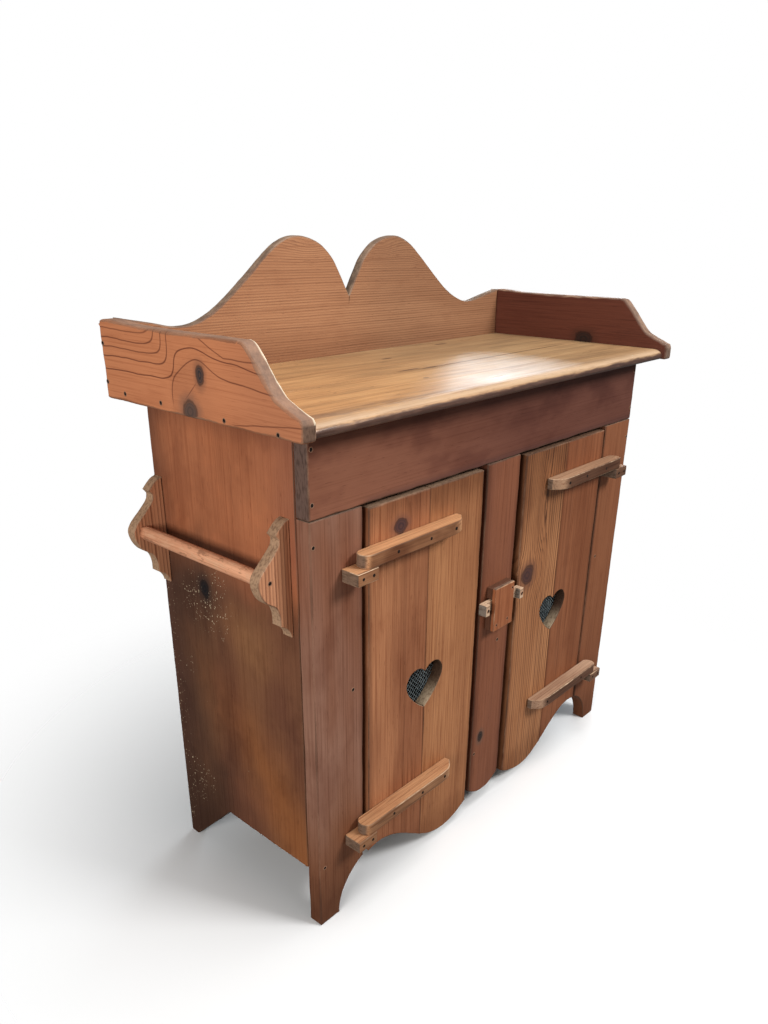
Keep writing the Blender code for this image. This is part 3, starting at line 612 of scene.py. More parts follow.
def pine(name, order, pale, late, pitch, pith, lines, tilt=(0.0, 0.0), thin=0.45, faint=0.15, wobble=0.004,
         uneven=2.2, knots=(), bends=(), extra=None, tone=None, worn=WORN, last=None, end=END_GRAIN, rim=None,
         rough=0.55, edges=0.5, edge_grime_and_shade=0.6, blotch=0.55, fibre=0.6, ticks=0.5, soil=(), shine=0.20):
    """Old oiled pine.

    order names the axes along the grain, across the face and through the board. The year rings are the
    distance from a tilted pith line divided by the pitch, shifted by slow noise, parted at knots and humped
    at bends. Each ring darkens slowly to its late wood and then stops short, and some rings hardly show.
    Fibres are noise drawn out along the grain, ticks are short dark dashes, and a second tone comes and goes
    in broad patches. A rim is a worn sawn edge in two colours.

    A knot is its middle along and across the grain, its half sizes, its core and its halo. A bend is its
    middle, its half sizes and its height in rings. Each entry of soil and shade is an axis, a place on it, a
    reach and a strength; some are soil, others painted shade beside the doors and on faces turned from the
    light. Grime and painted shade darken the arrises.
    """
    f = Finish(name)
    u, v, w = (getattr(f, letter) for letter in order)
    drift = f.noise(u * 3, v * 12, w * 12, 1.0) - 0.5
    ripple = f.noise(u * 22, v * 60, w * 60, 1.0) - 0.5
    side = v - pith[0] + u * tilt[0]
    deep = w - pith[1] + u * tilt[1]
    far = (side * side + deep * deep).math("SQRT")
    phase = (far + drift * wobble * 4 + ripple * wobble * 0.35) / pitch
    phase = phase + f.line_noise(far / pitch * 0.31, 1.0) * uneven
    for knot_u, knot_v, half_u, half_v, *_ in knots:
        du = (u - knot_u) / (half_u * 2.8)
        dv = (v - knot_v) / (half_v * 2.4)
        phase = phase - dv * mound(du, dv) * (half_v * 2.4 / pitch * 0.85)
    for bend_u, bend_v, half_u, half_v, amount in bends:
        phase = phase + amount * mound((u - bend_u) / half_u, (v - bend_v) / half_v)
    turn = phase.math("FRACT")
    year = f.line_noise(phase.math("FLOOR") * 7.31)
    shown = faint + year.step(0.30, 0.70) * (1 - faint)
    dark = turn.step(thin, 0.90) * (1 - turn.step(0.93, 0.995)) * shown * lines
    streak = f.noise(u * 4, v * 330, w * 330, 2.0)
    hair = f.noise(u * 18, v * 1300, w * 1300, 1.0)
    tick = f.noise(u * 50, v * 700, w * 700, 1.0)
    patch = f.noise(u * 2.0, v * 9, w * 9, 2.0)
    smudge = f.noise(u * 8, v * 15, w * 15, 3.0, 0.6)
    colour = f.mix(patch.step(0.38, 0.64) * blotch, pale, tone or shaded(pale, PATCH_SHADE))
    colour = f.mix(dark, colour, late)
    if extra is not None:
        colour = extra(f, colour, u, v, w)
    colour = f.layered(
        colour,
        ((1 - streak.step(0.30, 0.46)) * fibre * 0.5, FIBRE_LIGHT, SHADE),
        (streak.step(0.53, 0.70) * fibre, FIBRE_SHADE, SHADE),
        (hair.step(0.50, 0.72) * fibre * 0.8, HAIR_SHADE, SHADE),
        (tick.step(0.68, 0.76) * ticks, TICK_SHADE, SHADE),
        (smudge.step(0.50, 0.74) * blotch * 0.7, SMUDGE_SHADE, SHADE),
    )
    # Darker near given places: soil, and painted shade beside the doors and on shaded faces
    for letter, place, reach, strength in soil:
        near = getattr(f, letter).hump(place, reach) * (0.35 + smudge * 1.1) * strength
        colour = f.mix(near, colour, SOIL_AND_SHADE_TINT, SHADE)
    for knot in knots:
        colour = knot_colour(f, colour, u, v, knot)
    arris = f.mark("arris")
    ends = f.mark("end")
    scuff = f.noise(u * 30, v * 80, w * 80, 3.0, 0.65)
    ring_ends = f.noise(u * 260, v * 90, w * 330, 2.0)
    colour = f.layered(
        colour,
        (ends.step(0.30, 0.80) * 0.88, end(f, u, v, w) if callable(end) else end),
        (ends.step(0.30, 0.80) * ring_ends.step(0.42, 0.70), RING_END_SHADE, SHADE),
    )
    if rim:
        colour = f.mix(f.mark("rim") * 0.92, colour, f.mix(scuff.step(0.28, 0.74), *rim))
    if callable(worn):
        rubbed = worn(f, u, v, w)
    else:
        rubbed = f.mix(arris.step(0.72, 0.97), worn, shaded(worn, RUBBED_LIGHT))
    # Arrises darkened by grime and painted shade, then rubbed pale in places
    slow = f.noise(u * 7, v * 7, w * 7, 2.0)
    colour = f.layered(
        colour,
        (arris.step(0.0, 0.6) * (0.9 - slow.step(0.40, 0.62) * 0.6) * edge_grime_and_shade, GRIME_AND_SHADE),
        (arris.step(0.15, 0.75) * scuff.step(0.30, 0.70) * slow.step(0.36, 0.56) * edges, rubbed),
    )
    if last is not None:
        colour = last(f, colour, u, v, w)
    roughness = rough + (streak - 0.5) * 0.25 + (smudge - 0.5) * 0.2 - dark * 0.08 + ends * 0.2
    height = streak * 0.5 + hair * 0.25 + dark * 0.5 + smudge * 0.3 + ends * ring_ends * 1.5
    return f.done(colour, roughness, height, 0.0005, Specular_IOR_Level=shine)


def knot_colour(f, colour, u, v, knot):
    """A knot: a dark ellipse with a few rings in it, a pale halo and a dark rim, bent a little by noise."""
    knot_u, knot_v, half_u, half_v, core, halo = knot
    bend = f.noise(u * 55, v * 55, 0.0, 2.0) - 0.5
    du = (u - knot_u) / half_u
    dv = (v - knot_v) / half_v
    far = (du * du + dv * dv).math("SQRT") + bend * 0.7
    rings = (far * 13).math("SINE") * 0.5 + 0.5
    return f.layered(
        colour,
        ((1 - far.step(1.0, 2.3)) * 0.60, halo),
        (1 - far.step(0.75, 1.05), f.mix(rings * 0.35, core, halo)),
        (far.hump(1.02, 0.25) * 0.7, shaded(core, KNOT_RIM_SHADE)),
    )


# Year lines of the left gallery that turn up into its top edge: height, depth of the turn, strength
GALLERY_TURNS = ((0.9525, 0.257, 0.7), (0.939, 0.250, 0.9), (0.9265, 0.234, 0.9), (0.9135, 0.221, 0.95))
GALLERY_LINE = (0.120, 0.030, 0.016)
LINE_HALF = 0.0016


def gallery_marks(f, colour, u, v, w):
    """The left gallery's few strong year lines.

    At the back they lie level and turn up in a round corner, the soft minimum of a height and a depth. The
    lowest one then runs on over the knots as a bell of the depth and falls towards the nose. A second line
    rises from the foot and arches over the knots. One comes down from the top edge in front, one lies low
    near the nose, a short one joins the knots, and the wood between the arches is a little darker.
    """
    depth = u - FRONT_Y
    wave = (f.noise(u * 14, v * 14, 0.0, 2.0) - 0.5) * 0.007
    level = v + wave
    along = depth + wave
    drawn = 0.0
    for height, turn, strength in GALLERY_TURNS:
        line = (level - height).soft_least(along - turn, 0.040)
        drawn = line.hump(0.0, LINE_HALF) * strength + drawn
    crest = 0.931 + bell(depth, 0.162, 0.040) * 0.0120 - (0.07 - depth).most(0.0) * 0.17
    first = (level - crest).soft_most((level - 0.8950).soft_least(along - 0.207, 0.050), 0.024)
    arch = 0.907 + bell(depth, 0.155, 0.036) * 0.022 - (0.06 - depth).most(0.0) * 0.13
    second = (level - arch).soft_most(along - 0.216, 0.045)
    drop = (level - 0.937 - (depth - 0.097).most(0.0) * 0.38).hump(0.0, LINE_HALF)
    drop = drop * (1 - depth.step(0.142, 0.152))
    low = (level - 0.855 - (0.076 - depth) * 0.11).hump(0.0, LINE_HALF) * (1 - depth.step(0.072, 0.097))
    short = (depth - 0.161 - (0.897 - v) * 1.1 + wave).hump(0.0, LINE_HALF) * v.hump(0.886, 0.020)
    drawn = drawn + first.hump(0.0, LINE_HALF) + second.hump(0.0, LINE_HALF) * v.step(0.855, 0.875) * 0.9
    drawn = drawn + drop * 0.85 + low * 0.8 + short
    inside = (1 - second.step(-0.005, 0.010)) * depth.step(0.09, 0.17)
    fore = 1 - depth.step(-0.01, 0.14)
    return f.layered(
        colour,
        (inside * 0.30, (0.34, 0.130, 0.066)),
        (fore * 0.45, (0.40, 0.165, 0.088)),
        (drawn.least(1.0) * 0.92, GALLERY_LINE),
    )


def right_gallery_marks(f, colour, u, v, w):
    """The right gallery: dark inside, stain with painted shade, as orange as the left one outside."""
    outer = HIGH["right_gallery"][X]
    return f.mix(w.step(outer - 0.012, outer - 0.006) * 0.9, colour, (0.50, 0.185, 0.084))


def gallery_edge_and_highlight(f, u, v, w):
    """The left gallery's arrises: brown outside, paler inside, rubbed and with a painted highlight."""
    inner = HIGH["left_gallery"][X]
    return f.mix(w.step(inner - 0.014, inner - 0.004), (0.290, 0.165, 0.105), (0.37, 0.235, 0.155))


def gallery_bare_and_highlight(f, colour, u, v, w):
    """A cream painted highlight on the bared wood beside the left gallery's inner arris, along the ogee."""
    inner = HIGH["left_gallery"][X]
    start = LOW["left_gallery"][Y] + OGEE_LENGTH
    ragged = f.noise(u * 40, v * 40, w * 160, 3.0, 0.6)
    # The painted highlight along the inner arris
    bare_and_highlit = (w + (ragged - 0.5) * 0.006).step(inner - 0.0060, inner - 0.0030)
    bare_and_highlit = bare_and_highlit * (1 - u.step(start - 0.010, start + 0.014))
    return f.mix(bare_and_highlit * f.mark("rim").step(0.2, 0.8) * 0.85, colour, (0.76, 0.64, 0.48))


def side_stain_and_shade(f, colour, u, v, w):
    """The side panel: orange above, red-brown stain below, darkest at the back, an ochre patch in the middle,
    an orange glow that slants down to the front and cream paint specks round the knot and along the back.
    Painted shade darkens it under the gallery, round the rod's height, along the rear edge and along the
    front edge."""
    depth = v - FRONT_Y
    cloud = f.noise(u * 6, v * 10, 0.0, 3.0, 0.6)
    mist = f.noise(u * 3, v * 7, 5.0, 2.0)
    mottle = f.noise(u * 9, v * 13, 9.0, 3.0, 0.6)
    sway = cloud - 0.5
    low = 1 - (u + sway * 0.12 - depth * 0.04).step(0.54, 0.64)
    stain = f.mix(mist.step(0.40, 0.62), (0.118, 0.047, 0.028), (0.170, 0.076, 0.038))
    ochre = bell(u + sway * 0.14, 0.50, 0.060) * bell(depth, 0.150, 0.070)
    back = (depth + sway * 0.22).step(0.14, 0.34) * low
    slant = depth - 0.030 - (u - 0.12) * 0.70 + sway * 0.09
    glow = bell(slant, 0.0, 0.080) * (1 - u.step(0.22, 0.50)) * (0.4 + mist)
    smear = bell(depth, 0.256, 0.030) * u.hump(0.555, 0.075) * (0.4 + cloud)
    # Painted shade round the rod's height, behind it
    behind = bell(u, 0.62, 0.045) * depth.step(0.10, 0.30) * cloud.step(0.36, 0.60)
    # Painted shadow under the gallery
    under = (u - 0.80).step(0.0, 0.05)
    # Painted shade along the rear edge, then along the front edge
    rear = (depth + sway * 0.06).step(0.29, 0.392)
    fore = 1 - (depth + (mist - 0.5) * 0.05).step(-0.005, 0.040)
    corner = (1 - u.step(0.06, 0.30)) * (depth + sway * 0.10).step(0.16, 0.27)
    # Painted shade near the front edge, high up
    edge = (1 - (depth + sway * 0.08).step(0.02, 0.12)) * u.step(0.58, 0.66)
    split = depth - 0.165 - (f.noise(u * 9, 2.0, 0.0, 1.0) - 0.5) * 0.05
    crack = split.hump(0.0, 0.0016) * u.hump(0.75, 0.07)
    drops = f.noise(u * 330, v * 330, w * 330, 1.0)
    where = f.noise(u * 10, v * 10, 7.0, 1.0)
    at_knot = bell(u, 0.530, 0.042) * bell(depth, 0.250, 0.055)
    at_back = depth.step(0.31, 0.37) * 0.45
    astray = where.step(0.56, 0.68) * depth.step(0.12, 0.22) * 0.45
    about = (at_knot * 1.4).most(at_back).most(astray).least(1.0)
    specks = (drops + about * 0.06).step(0.735, 0.765) * about.step(0.10, 0.40) * (1 - u.step(0.58, 0.64))
    return f.layered(
        colour,
        (low * 0.88, stain),
        (ochre * 0.65, (0.300, 0.138, 0.058)),
        (back * 0.80, (0.062, 0.030, 0.018)),
        (glow * 0.90, (0.275, 0.098, 0.032)),
        (smear * 0.75, (0.038, 0.022, 0.016)),
        (behind * 0.70, (0.085, 0.040, 0.026)),
        (under * 0.55, (0.14, 0.050, 0.028)),
        (rear * 0.72, (0.085, 0.036, 0.024)),
        (fore * 0.45, (0.105, 0.045, 0.030)),
        (mottle.step(0.48, 0.66) * 0.55, (0.66, 0.60, 0.60), SHADE),
        ((1 - mottle.step(0.34, 0.48)) * 0.45, (1.22, 1.20, 1.16), SHADE),
        (corner * 0.75, (0.050, 0.022, 0.013)),
        (edge * 0.65, (0.285, 0.105, 0.062)),
        (crack * 0.45, (0.13, 0.042, 0.022)),
        (specks * 0.95, (0.72, 0.58, 0.40)),
    )


def rail_marks(f, colour, u, v, w):
    """The rail: orange at the left, with dark smudges, darker to the right in tone and in painted shade,
    painted shade with grime under the top, and painted shade along its foot over the doors.
    """
    stain = f.noise(u * 7, v * 13, 6.0, 3.0, 0.6)
    # Painted shade with grime under the top's nose
    under = (v + (stain - 0.5) * 0.05).step(CASE_TOP - 0.060, CASE_TOP - 0.012)
    # Painted shade along the rail's foot over the doors
    foot = (1 - (v - LOW["top_rail"][Z]).step(0.0, 0.016)) * u.step(-0.37, -0.34)
    return f.layered(
        colour,
        # Darker to the right: part tone, part painted shade
        (u.step(-HALF_WIDTH, 0.1) * 0.75, (0.48, 0.44, 0.56), SHADE),
        (u.step(0.0, HALF_WIDTH) * 0.35, (0.62, 0.58, 0.60), SHADE),
        (stain.step(0.48, 0.66) * 0.55, (0.60, 0.50, 0.52), SHADE),
        (under * 0.60, (0.50, 0.44, 0.46), SHADE),
        (foot * 0.55, (0.075, 0.036, 0.034)),
    )


# Dark marks of the top: across, back from the frame, half length, half depth
TOP_MARKS = ((-0.006, 0.273, 0.014, 0.0050), (0.235, 0.336, 0.018, 0.0060), (-0.075, 0.158, 0.036, 0.0045),
             (-0.030, 0.150, 0.022, 0.0045), (-0.120, 0.085, 0.006, 0.0040))
TOP_MARK = (0.070, 0.038, 0.024)


def top_marks(f, colour, u, v, w):
    """The top: flowing brown bands along the grain, dents, greyer and darker at the back and to the right, a
    pale worn edge with a painted highlight in front of grey streaks, and a dark ragged underside of the nose,
    painted shade with some dirt."""
    depth = v - FRONT_Y
    top = HIGH["top_board_front"][Z]
    joint = HIGH["top_board_front"][Y] - FRONT_Y
    bands = f.noise(u * 4.5, v * 42 + u * 3, 2.0, 3.0, 0.6)
    dents = f.noise(u * 55, v * 190, 1.0, 1.0).step(0.70, 0.75)
    where = f.noise(u * 5, v * 8, 4.0, 1.0).step(0.48, 0.60)
    smear = f.noise(u * 7, v * 26, 8.0, 3.0, 0.6)
    grey = bell(depth + (smear - 0.5) * 0.04, -0.010, 0.018)
    grey = grey * smear.step(0.38, 0.58) * (1 - u.step(-0.30, 0.05))
    ragged = f.noise(u * 26, v * 60, w * 200, 3.0, 0.65)
    # Painted highlight on the worn front edge
    worn_edge_and_highlight = bell(w + (ragged - 0.5) * 0.003, top - 0.0040, 0.0034) * (1 - depth.step(-0.020, 0.0))
    # Painted shade, with some dirt, under the nose
    below = 1 - (w + (ragged - 0.5) * 0.010).step(top - 0.0105, top - 0.0055)
    below = below * (1 - depth.step(-0.030, -0.018))
    underside_shade_and_dirt = f.mix(ragged.step(0.45, 0.65), (0.062, 0.030, 0.025), (0.105, 0.056, 0.044))
    gap = (depth - joint).hump(0.0, 0.0036) * u.step(-0.10, 0.0) * (1 - u.step(0.36, 0.46))
    colour = f.layered(
        colour,
        (bands.step(0.46, 0.64) * 0.70, (0.340, 0.185, 0.080)),
        ((1 - bands.step(0.32, 0.45)) * 0.40, (0.640, 0.380, 0.165)),
        (depth.step(0.10, 0.34) * 0.75, (0.74, 0.76, 0.78), SHADE),
        (u.step(-0.40, 0.20) * 0.85, (0.66, 0.78, 0.94), SHADE),
        (dents * where * 0.75, (0.09, 0.045, 0.025)),
        (grey * 0.80, (0.150, 0.088, 0.062)),
        (worn_edge_and_highlight * 0.80, (0.50, 0.350, 0.225)),
        (below * 0.94, underside_shade_and_dirt),
        (gap * 0.90, (0.045, 0.024, 0.016)),
    )
    for x, y, half_x, half_y in TOP_MARKS:
        du = (u - x) / half_x
        dv = (depth - y) / half_y
        spot = 1 - (du * du + dv * dv + (smear - 0.5) * 1.8).step(0.4, 1.3)
        colour = f.mix(spot * 0.88, colour, TOP_MARK)
    return colour


def splash_marks(f, colour, u, v, w):
    """The backsplash: plainer and browner low down and towards the right, with a crack under the notch."""
    low = 1 - (v + (f.noise(u * 4, v * 10, 1.0, 2.0) - 0.5) * 0.06).step(0.875, 0.925)
    crack = (u - (v - 0.97) * 0.10).hump(0.0, 0.0018) * v.step(0.955, 0.97)
    return f.layered(
        colour,
        (low * 0.55, (0.72, 0.66, 0.64), SHADE),
        (u.step(-0.10, 0.15) * 0.80, (0.74, 0.77, 0.80), SHADE),
        (crack * 0.85, (0.04, 0.02, 0.015)),
    )


def door_end(f, u, v, w):
    """A door's cut wood: pale olive grey low in the heart as painted light, dark at its lobes as painted
    shade, brown on top.
    """
    # Painted light low on the heart's wall, painted shade up in its lobes
    inside = u.step(HEART_TIP_HEIGHT + 0.004, HEART_TIP_HEIGHT + 0.042)
    wall = f.mix(inside * 0.97, (0.36, 0.290, 0.200), (0.022, 0.014, 0.010))
    upper = f.mix(v.step(-0.02, 0.02), (0.250, 0.165, 0.108), (0.150, 0.088, 0.056))
    return f.mix(u.step(0.45, 0.60), wall, upper)


def door_marks(f, colour, u, v, w):
    """A door: a dark crack in the joint under the heart, and soiling worked up from the foot."""
    joint = v.math("ABSOLUTE") - DOOR_JOINT
    crack = joint.hump(0.0, 0.0022) * u.hump(0.29, 0.05)
    cloud = f.noise(u * 14, v * 20, 4.0, 3.0, 0.6)
    foot = 1 - (u + (cloud - 0.5) * 0.10).step(0.030, 0.105)
    return f.layered(
        colour,
        (crack * 0.85, (0.045, 0.022, 0.014)),
        (foot * 0.60, (0.52, 0.44, 0.40), SHADE),
    )


def stile_marks(f, colour, u, v, w):
    """A stile: more orange towards its foot."""
    cloud = f.noise(u * 5, v * 16, 2.0, 2.0)
    low = 1 - (u + (cloud - 0.5) * 0.20).step(0.08, 0.34)
    return f.mix(low * 0.85, colour, (0.195, 0.072, 0.030))


def rod_marks(f, colour, u, v, w):
    """A rod: rubbed pale in patches, with dark soiling between them."""
    rubbed = f.noise(u * 34, v * 90, w * 90, 3.0, 0.65)
    return f.layered(
        colour,
        (rubbed.step(0.52, 0.64) * 0.55, (0.72, 0.42, 0.26)),
        ((1 - rubbed.step(0.36, 0.46)) * 0.55, (0.22, 0.085, 0.045)),
    )


def back_marks(f, colour, u, v, w):
    """The back: dark inside the cupboard as painted shade, dry brown boards of different tones with dark
    joints behind it.
    """
    low, high = LOW["back_board_1"], HIGH["back_board_1"]
    place = (v - low[X]) / (high[X] - low[X])
    joint = (place.math("FRACT") - 0.5).math("ABSOLUTE")
    tone = f.line_noise(place.math("FLOOR") * 3.7 + 2.0)
    cloud = f.noise(u * 5, v * 9, 3.0, 3.0, 0.6)
    dry = f.layered(
        f.mix(tone.step(0.35, 0.65), (0.215, 0.112, 0.064), (0.310, 0.180, 0.108)),
        (cloud.step(0.46, 0.66) * 0.6, (0.62, 0.56, 0.52), SHADE),
        (joint.step(0.480, 0.497) * 0.8, (0.030, 0.018, 0.012)),
    )
    return f.mix(w.step(high[Y] - 0.003, high[Y] - 0.001), colour, dry)


# Pine of the case

SIDE_PALE = (0.410, 0.148, 0.067)
SIDE_LATE = (0.25, 0.076, 0.033)
SIDE_LOOK = dict(lines=0.28, wobble=0.006, extra=side_stain_and_shade, blotch=0.4, edges=0.15, edge_grime_and_shade=0.85, fibre=0.38)
side_pine = pine(
    "side_pine", "zyx", SIDE_PALE, SIDE_LATE, pitch=0.015, pith=(-0.02, 0.16), tilt=(0.05, 0.02), **SIDE_LOOK,
    knots=((0.554, FRONT_Y + 0.254, 0.0150, 0.0100, (0.006, 0.006, 0.008), (0.040, 0.022, 0.017)),),
)
right_side_pine = pine(
    "right_side_pine", "zyx", SIDE_PALE, SIDE_LATE, pitch=0.014, pith=(0.05, -0.2), tilt=(-0.04, 0.0),
    **SIDE_LOOK,
)
bracket_pine = pine(
    "bracket_pine", "zxy", (0.64, 0.305, 0.165), (0.21, 0.076, 0.040), pitch=0.0060, pith=(0.9, 0.0),
    lines=0.80, uneven=0.25, thin=0.25, faint=0.5, wobble=0.0016, end=(0.41, 0.270, 0.170),
    worn=(0.46, 0.32, 0.22), blotch=0.4,
)
rail_pine = pine(
    "rail_pine", "xzy", (0.275, 0.110, 0.064), (0.19, 0.066, 0.038), pitch=0.018, pith=(0.62, 0.2),
    tilt=(0.02, 0.0), lines=0.14, extra=rail_marks, blotch=0.6, edges=0.25, edge_grime_and_shade=0.8,
    end=(0.120, 0.080, 0.066), fibre=0.28,
)
# Stiles: painted shade of the doors along their inner edges, and darker towards the floor
stile_pine = pine(
    "stile_pine", "zxy", (0.305, 0.156, 0.106), (0.135, 0.050, 0.032), pitch=0.012, pith=(-0.9, 0.2),
    tilt=(0.02, 0.0), lines=0.22, tone=(0.230, 0.086, 0.044), edges=0.20, edge_grime_and_shade=0.55, blotch=0.95,
    extra=stile_marks, soil=(("x", -STILE_EDGE, 0.010, 0.7), ("z", 0.0, 0.16, 0.6)),
)
right_stile_pine = pine(
    "right_stile_pine", "zxy", (0.27, 0.102, 0.046), (0.16, 0.055, 0.03), pitch=0.012, pith=(0.9, 0.2),
    tilt=(0.02, 0.0), lines=0.25, edges=0.25, edge_grime_and_shade=0.8,
    soil=(("x", STILE_EDGE, 0.010, 0.7), ("z", 0.0, 0.12, 0.5)),
)
# Centre stile: painted shade of the doors along both its edges
centre_pine = pine(
    "centre_pine", "zxy", (0.255, 0.093, 0.047), (0.14, 0.048, 0.028), pitch=0.012, pith=(0.5, 0.3),
    tilt=(-0.01, 0.0), lines=0.20, edges=0.30, edge_grime_and_shade=0.85, tone=(0.175, 0.066, 0.040),
    soil=(("x", -CENTRE_EDGE, 0.020, 0.7), ("x", CENTRE_EDGE, 0.014, 0.55)),
    knots=((0.165, -0.022, 0.0110, 0.0075, (0.016, 0.012, 0.012), (0.13, 0.085, 0.065)),),
)
# Pine inside the cupboard, the back, the cleats and the shelves: near black as painted shade
DARK_PALE = (0.060, 0.032, 0.020)
DARK_LATE = (0.036, 0.019, 0.012)
DARK_LOOK = dict(pitch=0.010, lines=0.4)
back_pine = pine(
    "back_pine", "zxy", DARK_PALE, DARK_LATE, pith=(0.3, 0.5), extra=back_marks, fibre=0.8, **DARK_LOOK,
)
inside_pine = pine("inside_pine", "zxy", DARK_PALE, DARK_LATE, pith=(0.3, 0.5), **DARK_LOOK)
shelf_pine = pine(
    "shelf_pine", "xyz", (0.062, 0.034, 0.021), (0.036, 0.020, 0.013), pith=(0.1, 0.9), **DARK_LOOK,
)

# Pine of the top and the gallery

top_pine = pine(
    "top_pine", "xyz", (0.560, 0.306, 0.130), (0.24, 0.108, 0.044), pitch=0.013, pith=(0.05, 0.78),
    tilt=(0.03, 0.0), lines=0.25, thin=0.3, wobble=0.008, extra=top_marks, rough=0.36,
    worn=(0.24, 0.15, 0.10), blotch=0.45, shine=0.45,
)
gallery_pine = pine(
    "gallery_pine", "yzx", (0.590, 0.228, 0.105), (0.34, 0.112, 0.050), pitch=0.012, pith=(0.5, 0.4),
    lines=0.10, extra=gallery_marks, blotch=0.45, fibre=0.4, ticks=0.3, worn=gallery_edge_and_highlight, last=gallery_bare_and_highlight,
    edges=0.85, edge_grime_and_shade=0.5, end=(0.120, 0.082, 0.060), rim=((0.170, 0.105, 0.075), (0.290, 0.170, 0.112)),
    knots=((FRONT_Y + 0.150, 0.909, 0.0080, 0.0125, (0.034, 0.030, 0.032), (0.22, 0.095, 0.056)),
           (FRONT_Y + 0.178, 0.857, 0.0150, 0.0150, (0.085, 0.055, 0.046), (0.19, 0.100, 0.070))),
)
# Dark inside the right gallery: stain and painted shade
right_gallery_pine = pine(
    "right_gallery_pine", "yzx", (0.140, 0.043, 0.026), (0.07, 0.021, 0.013), pitch=0.012, pith=(0.5, 0.4),
    tilt=(0.04, 0.0), lines=0.3, worn=(0.30, 0.19, 0.13), edges=0.7, extra=right_gallery_marks,
    rim=((0.120, 0.080, 0.060), (0.260, 0.165, 0.115)),
    knots=((FRONT_Y + 0.143, 0.874, 0.020, 0.014, (0.016, 0.009, 0.008), (0.06, 0.02, 0.012)),),
)
backsplash_pine = pine(
    "backsplash_pine", "xzy", (0.405, 0.202, 0.104), (0.170, 0.072, 0.038), pitch=0.0044, pith=(0.62, 0.30),
    tilt=(0.02, 0.02), lines=0.60, thin=0.35, faint=0.60, wobble=0.0016, uneven=0.3, blotch=0.45, fibre=0.35,
    edge_grime_and_shade=0.7, extra=splash_marks, worn=(0.26, 0.180, 0.125), edges=0.7, end=(0.17, 0.12, 0.09),
    rim=((0.105, 0.072, 0.052), (0.240, 0.165, 0.115)),
    bends=((0.085, 1.058, 0.045, 0.018, 3.0), (-0.10, 1.062, 0.05, 0.018, 2.0),
           (0.21, 1.035, 0.02, 0.012, 1.5)),
)

# Pine of the doors, the hinges, the latch and the towel bars

DOOR_LATE = (0.19, 0.068, 0.030)


def door_pine(place, *colours, **look):
    """A door's board: cut wood as in the heart, soiling in the joint and at the foot, arrises little rubbed.
    """
    return pine(
        f"{place}_pine", "zxy", *colours, end=door_end, edges=0.35, edge_grime_and_shade=0.75, extra=door_marks, **look,
    )


# Door boards: painted shade along their edges beside the stiles, dark joints, and darker towards the top
door_pines = {
    "left_outer": door_pine(
        "left_door_outer", (0.465, 0.198, 0.092), DOOR_LATE, pitch=0.016, pith=(-0.60, 0.15),
        tilt=(0.02, 0.0), lines=0.36, wobble=0.007, tone=(0.290, 0.108, 0.050), blotch=0.85, fibre=0.85,
        ticks=0.8,
        soil=(("x", -OUTER_EDGE, 0.012, 0.5), ("x", -DOOR_JOINT, 0.006, 0.7), ("z", DOOR_TOP, 0.05, 0.6)),
        knots=((0.675, -0.279, 0.0110, 0.0140, (0.050, 0.028, 0.032), (0.155, 0.068, 0.050)),),
    ),
    "left_inner": door_pine(
        "left_door_inner", (0.500, 0.226, 0.099), DOOR_LATE, pitch=0.014, pith=(0.35, 0.22),
        tilt=(-0.02, 0.0), lines=0.32, wobble=0.007, tone=(0.325, 0.130, 0.056), blotch=0.85, fibre=0.85,
        ticks=0.8,
        soil=(("x", -INNER_EDGE, 0.012, 0.6), ("z", DOOR_TOP, 0.08, 0.7)),
    ),
    "right_inner": door_pine(
        "right_door_inner", (0.480, 0.218, 0.096), (0.115, 0.044, 0.022), pitch=0.0066, pith=(-0.9, 0.1),
        tilt=(0.01, 0.0), lines=0.95, thin=0.35, faint=0.45, wobble=0.0034, uneven=0.5, fibre=0.5,
        soil=(("x", INNER_EDGE, 0.012, 0.7), ("z", DOOR_TOP, 0.24, 0.8)),
        bends=((0.60, 0.135, 0.080, 0.020, 2.5),),
        knots=((0.478, 0.100, 0.0180, 0.0190, (0.065, 0.032, 0.030), (0.15, 0.062, 0.040)),),
    ),
    "right_outer": door_pine(
        "right_door_outer", (0.290, 0.108, 0.048), (0.14, 0.048, 0.024), pitch=0.016, pith=(0.75, 0.2),
        tilt=(0.02, 0.0), lines=0.32, blotch=0.8, fibre=0.8,
        soil=(("x", OUTER_EDGE, 0.012, 0.5), ("x", DOOR_JOINT, 0.010, 0.6)),
    ),
}


def bar_pine(place, pale, tone, front):
    """A hinge bar: split wood, its front face darker with painted shade, its ends grey and its arrises pale.
    """
    return pine(
        f"{place}_bar_pine", "xyz", pale, shaded(pale, (0.42, 0.38, 0.36)), pitch=0.006, pith=(0.3, 0.5),
        lines=0.55, wobble=0.006, worn=(0.66, 0.47, 0.31), edges=0.95, end=(0.150, 0.105, 0.078), tone=tone,
        fibre=0.8, blotch=0.75, soil=(("y", BAR_FRONT, 0.0040, front),),
    )


# Colour, second tone and painted shade of the front face
BAR_LOOKS = {
    "left_upper": ((0.800, 0.415, 0.205), (0.540, 0.285, 0.142), 0.95),
    "left_lower": ((0.540, 0.290, 0.148), (0.400, 0.195, 0.094), 0.72),
    "right_upper": ((0.450, 0.275, 0.170), (0.300, 0.172, 0.104), 1.2),
    "right_lower": ((0.490, 0.315, 0.212), (0.330, 0.200, 0.128), 1.2),
}
bar_pines = {place: bar_pine(place, *look) for place, look in BAR_LOOKS.items()}
keeper_pine = pine(
    "keeper_pine", "zxy", (0.370, 0.134, 0.058), (0.17, 0.054, 0.026), pitch=0.012, pith=(0.4, 0.2),
    lines=0.25, worn=(0.50, 0.30, 0.18), edges=0.8,
)
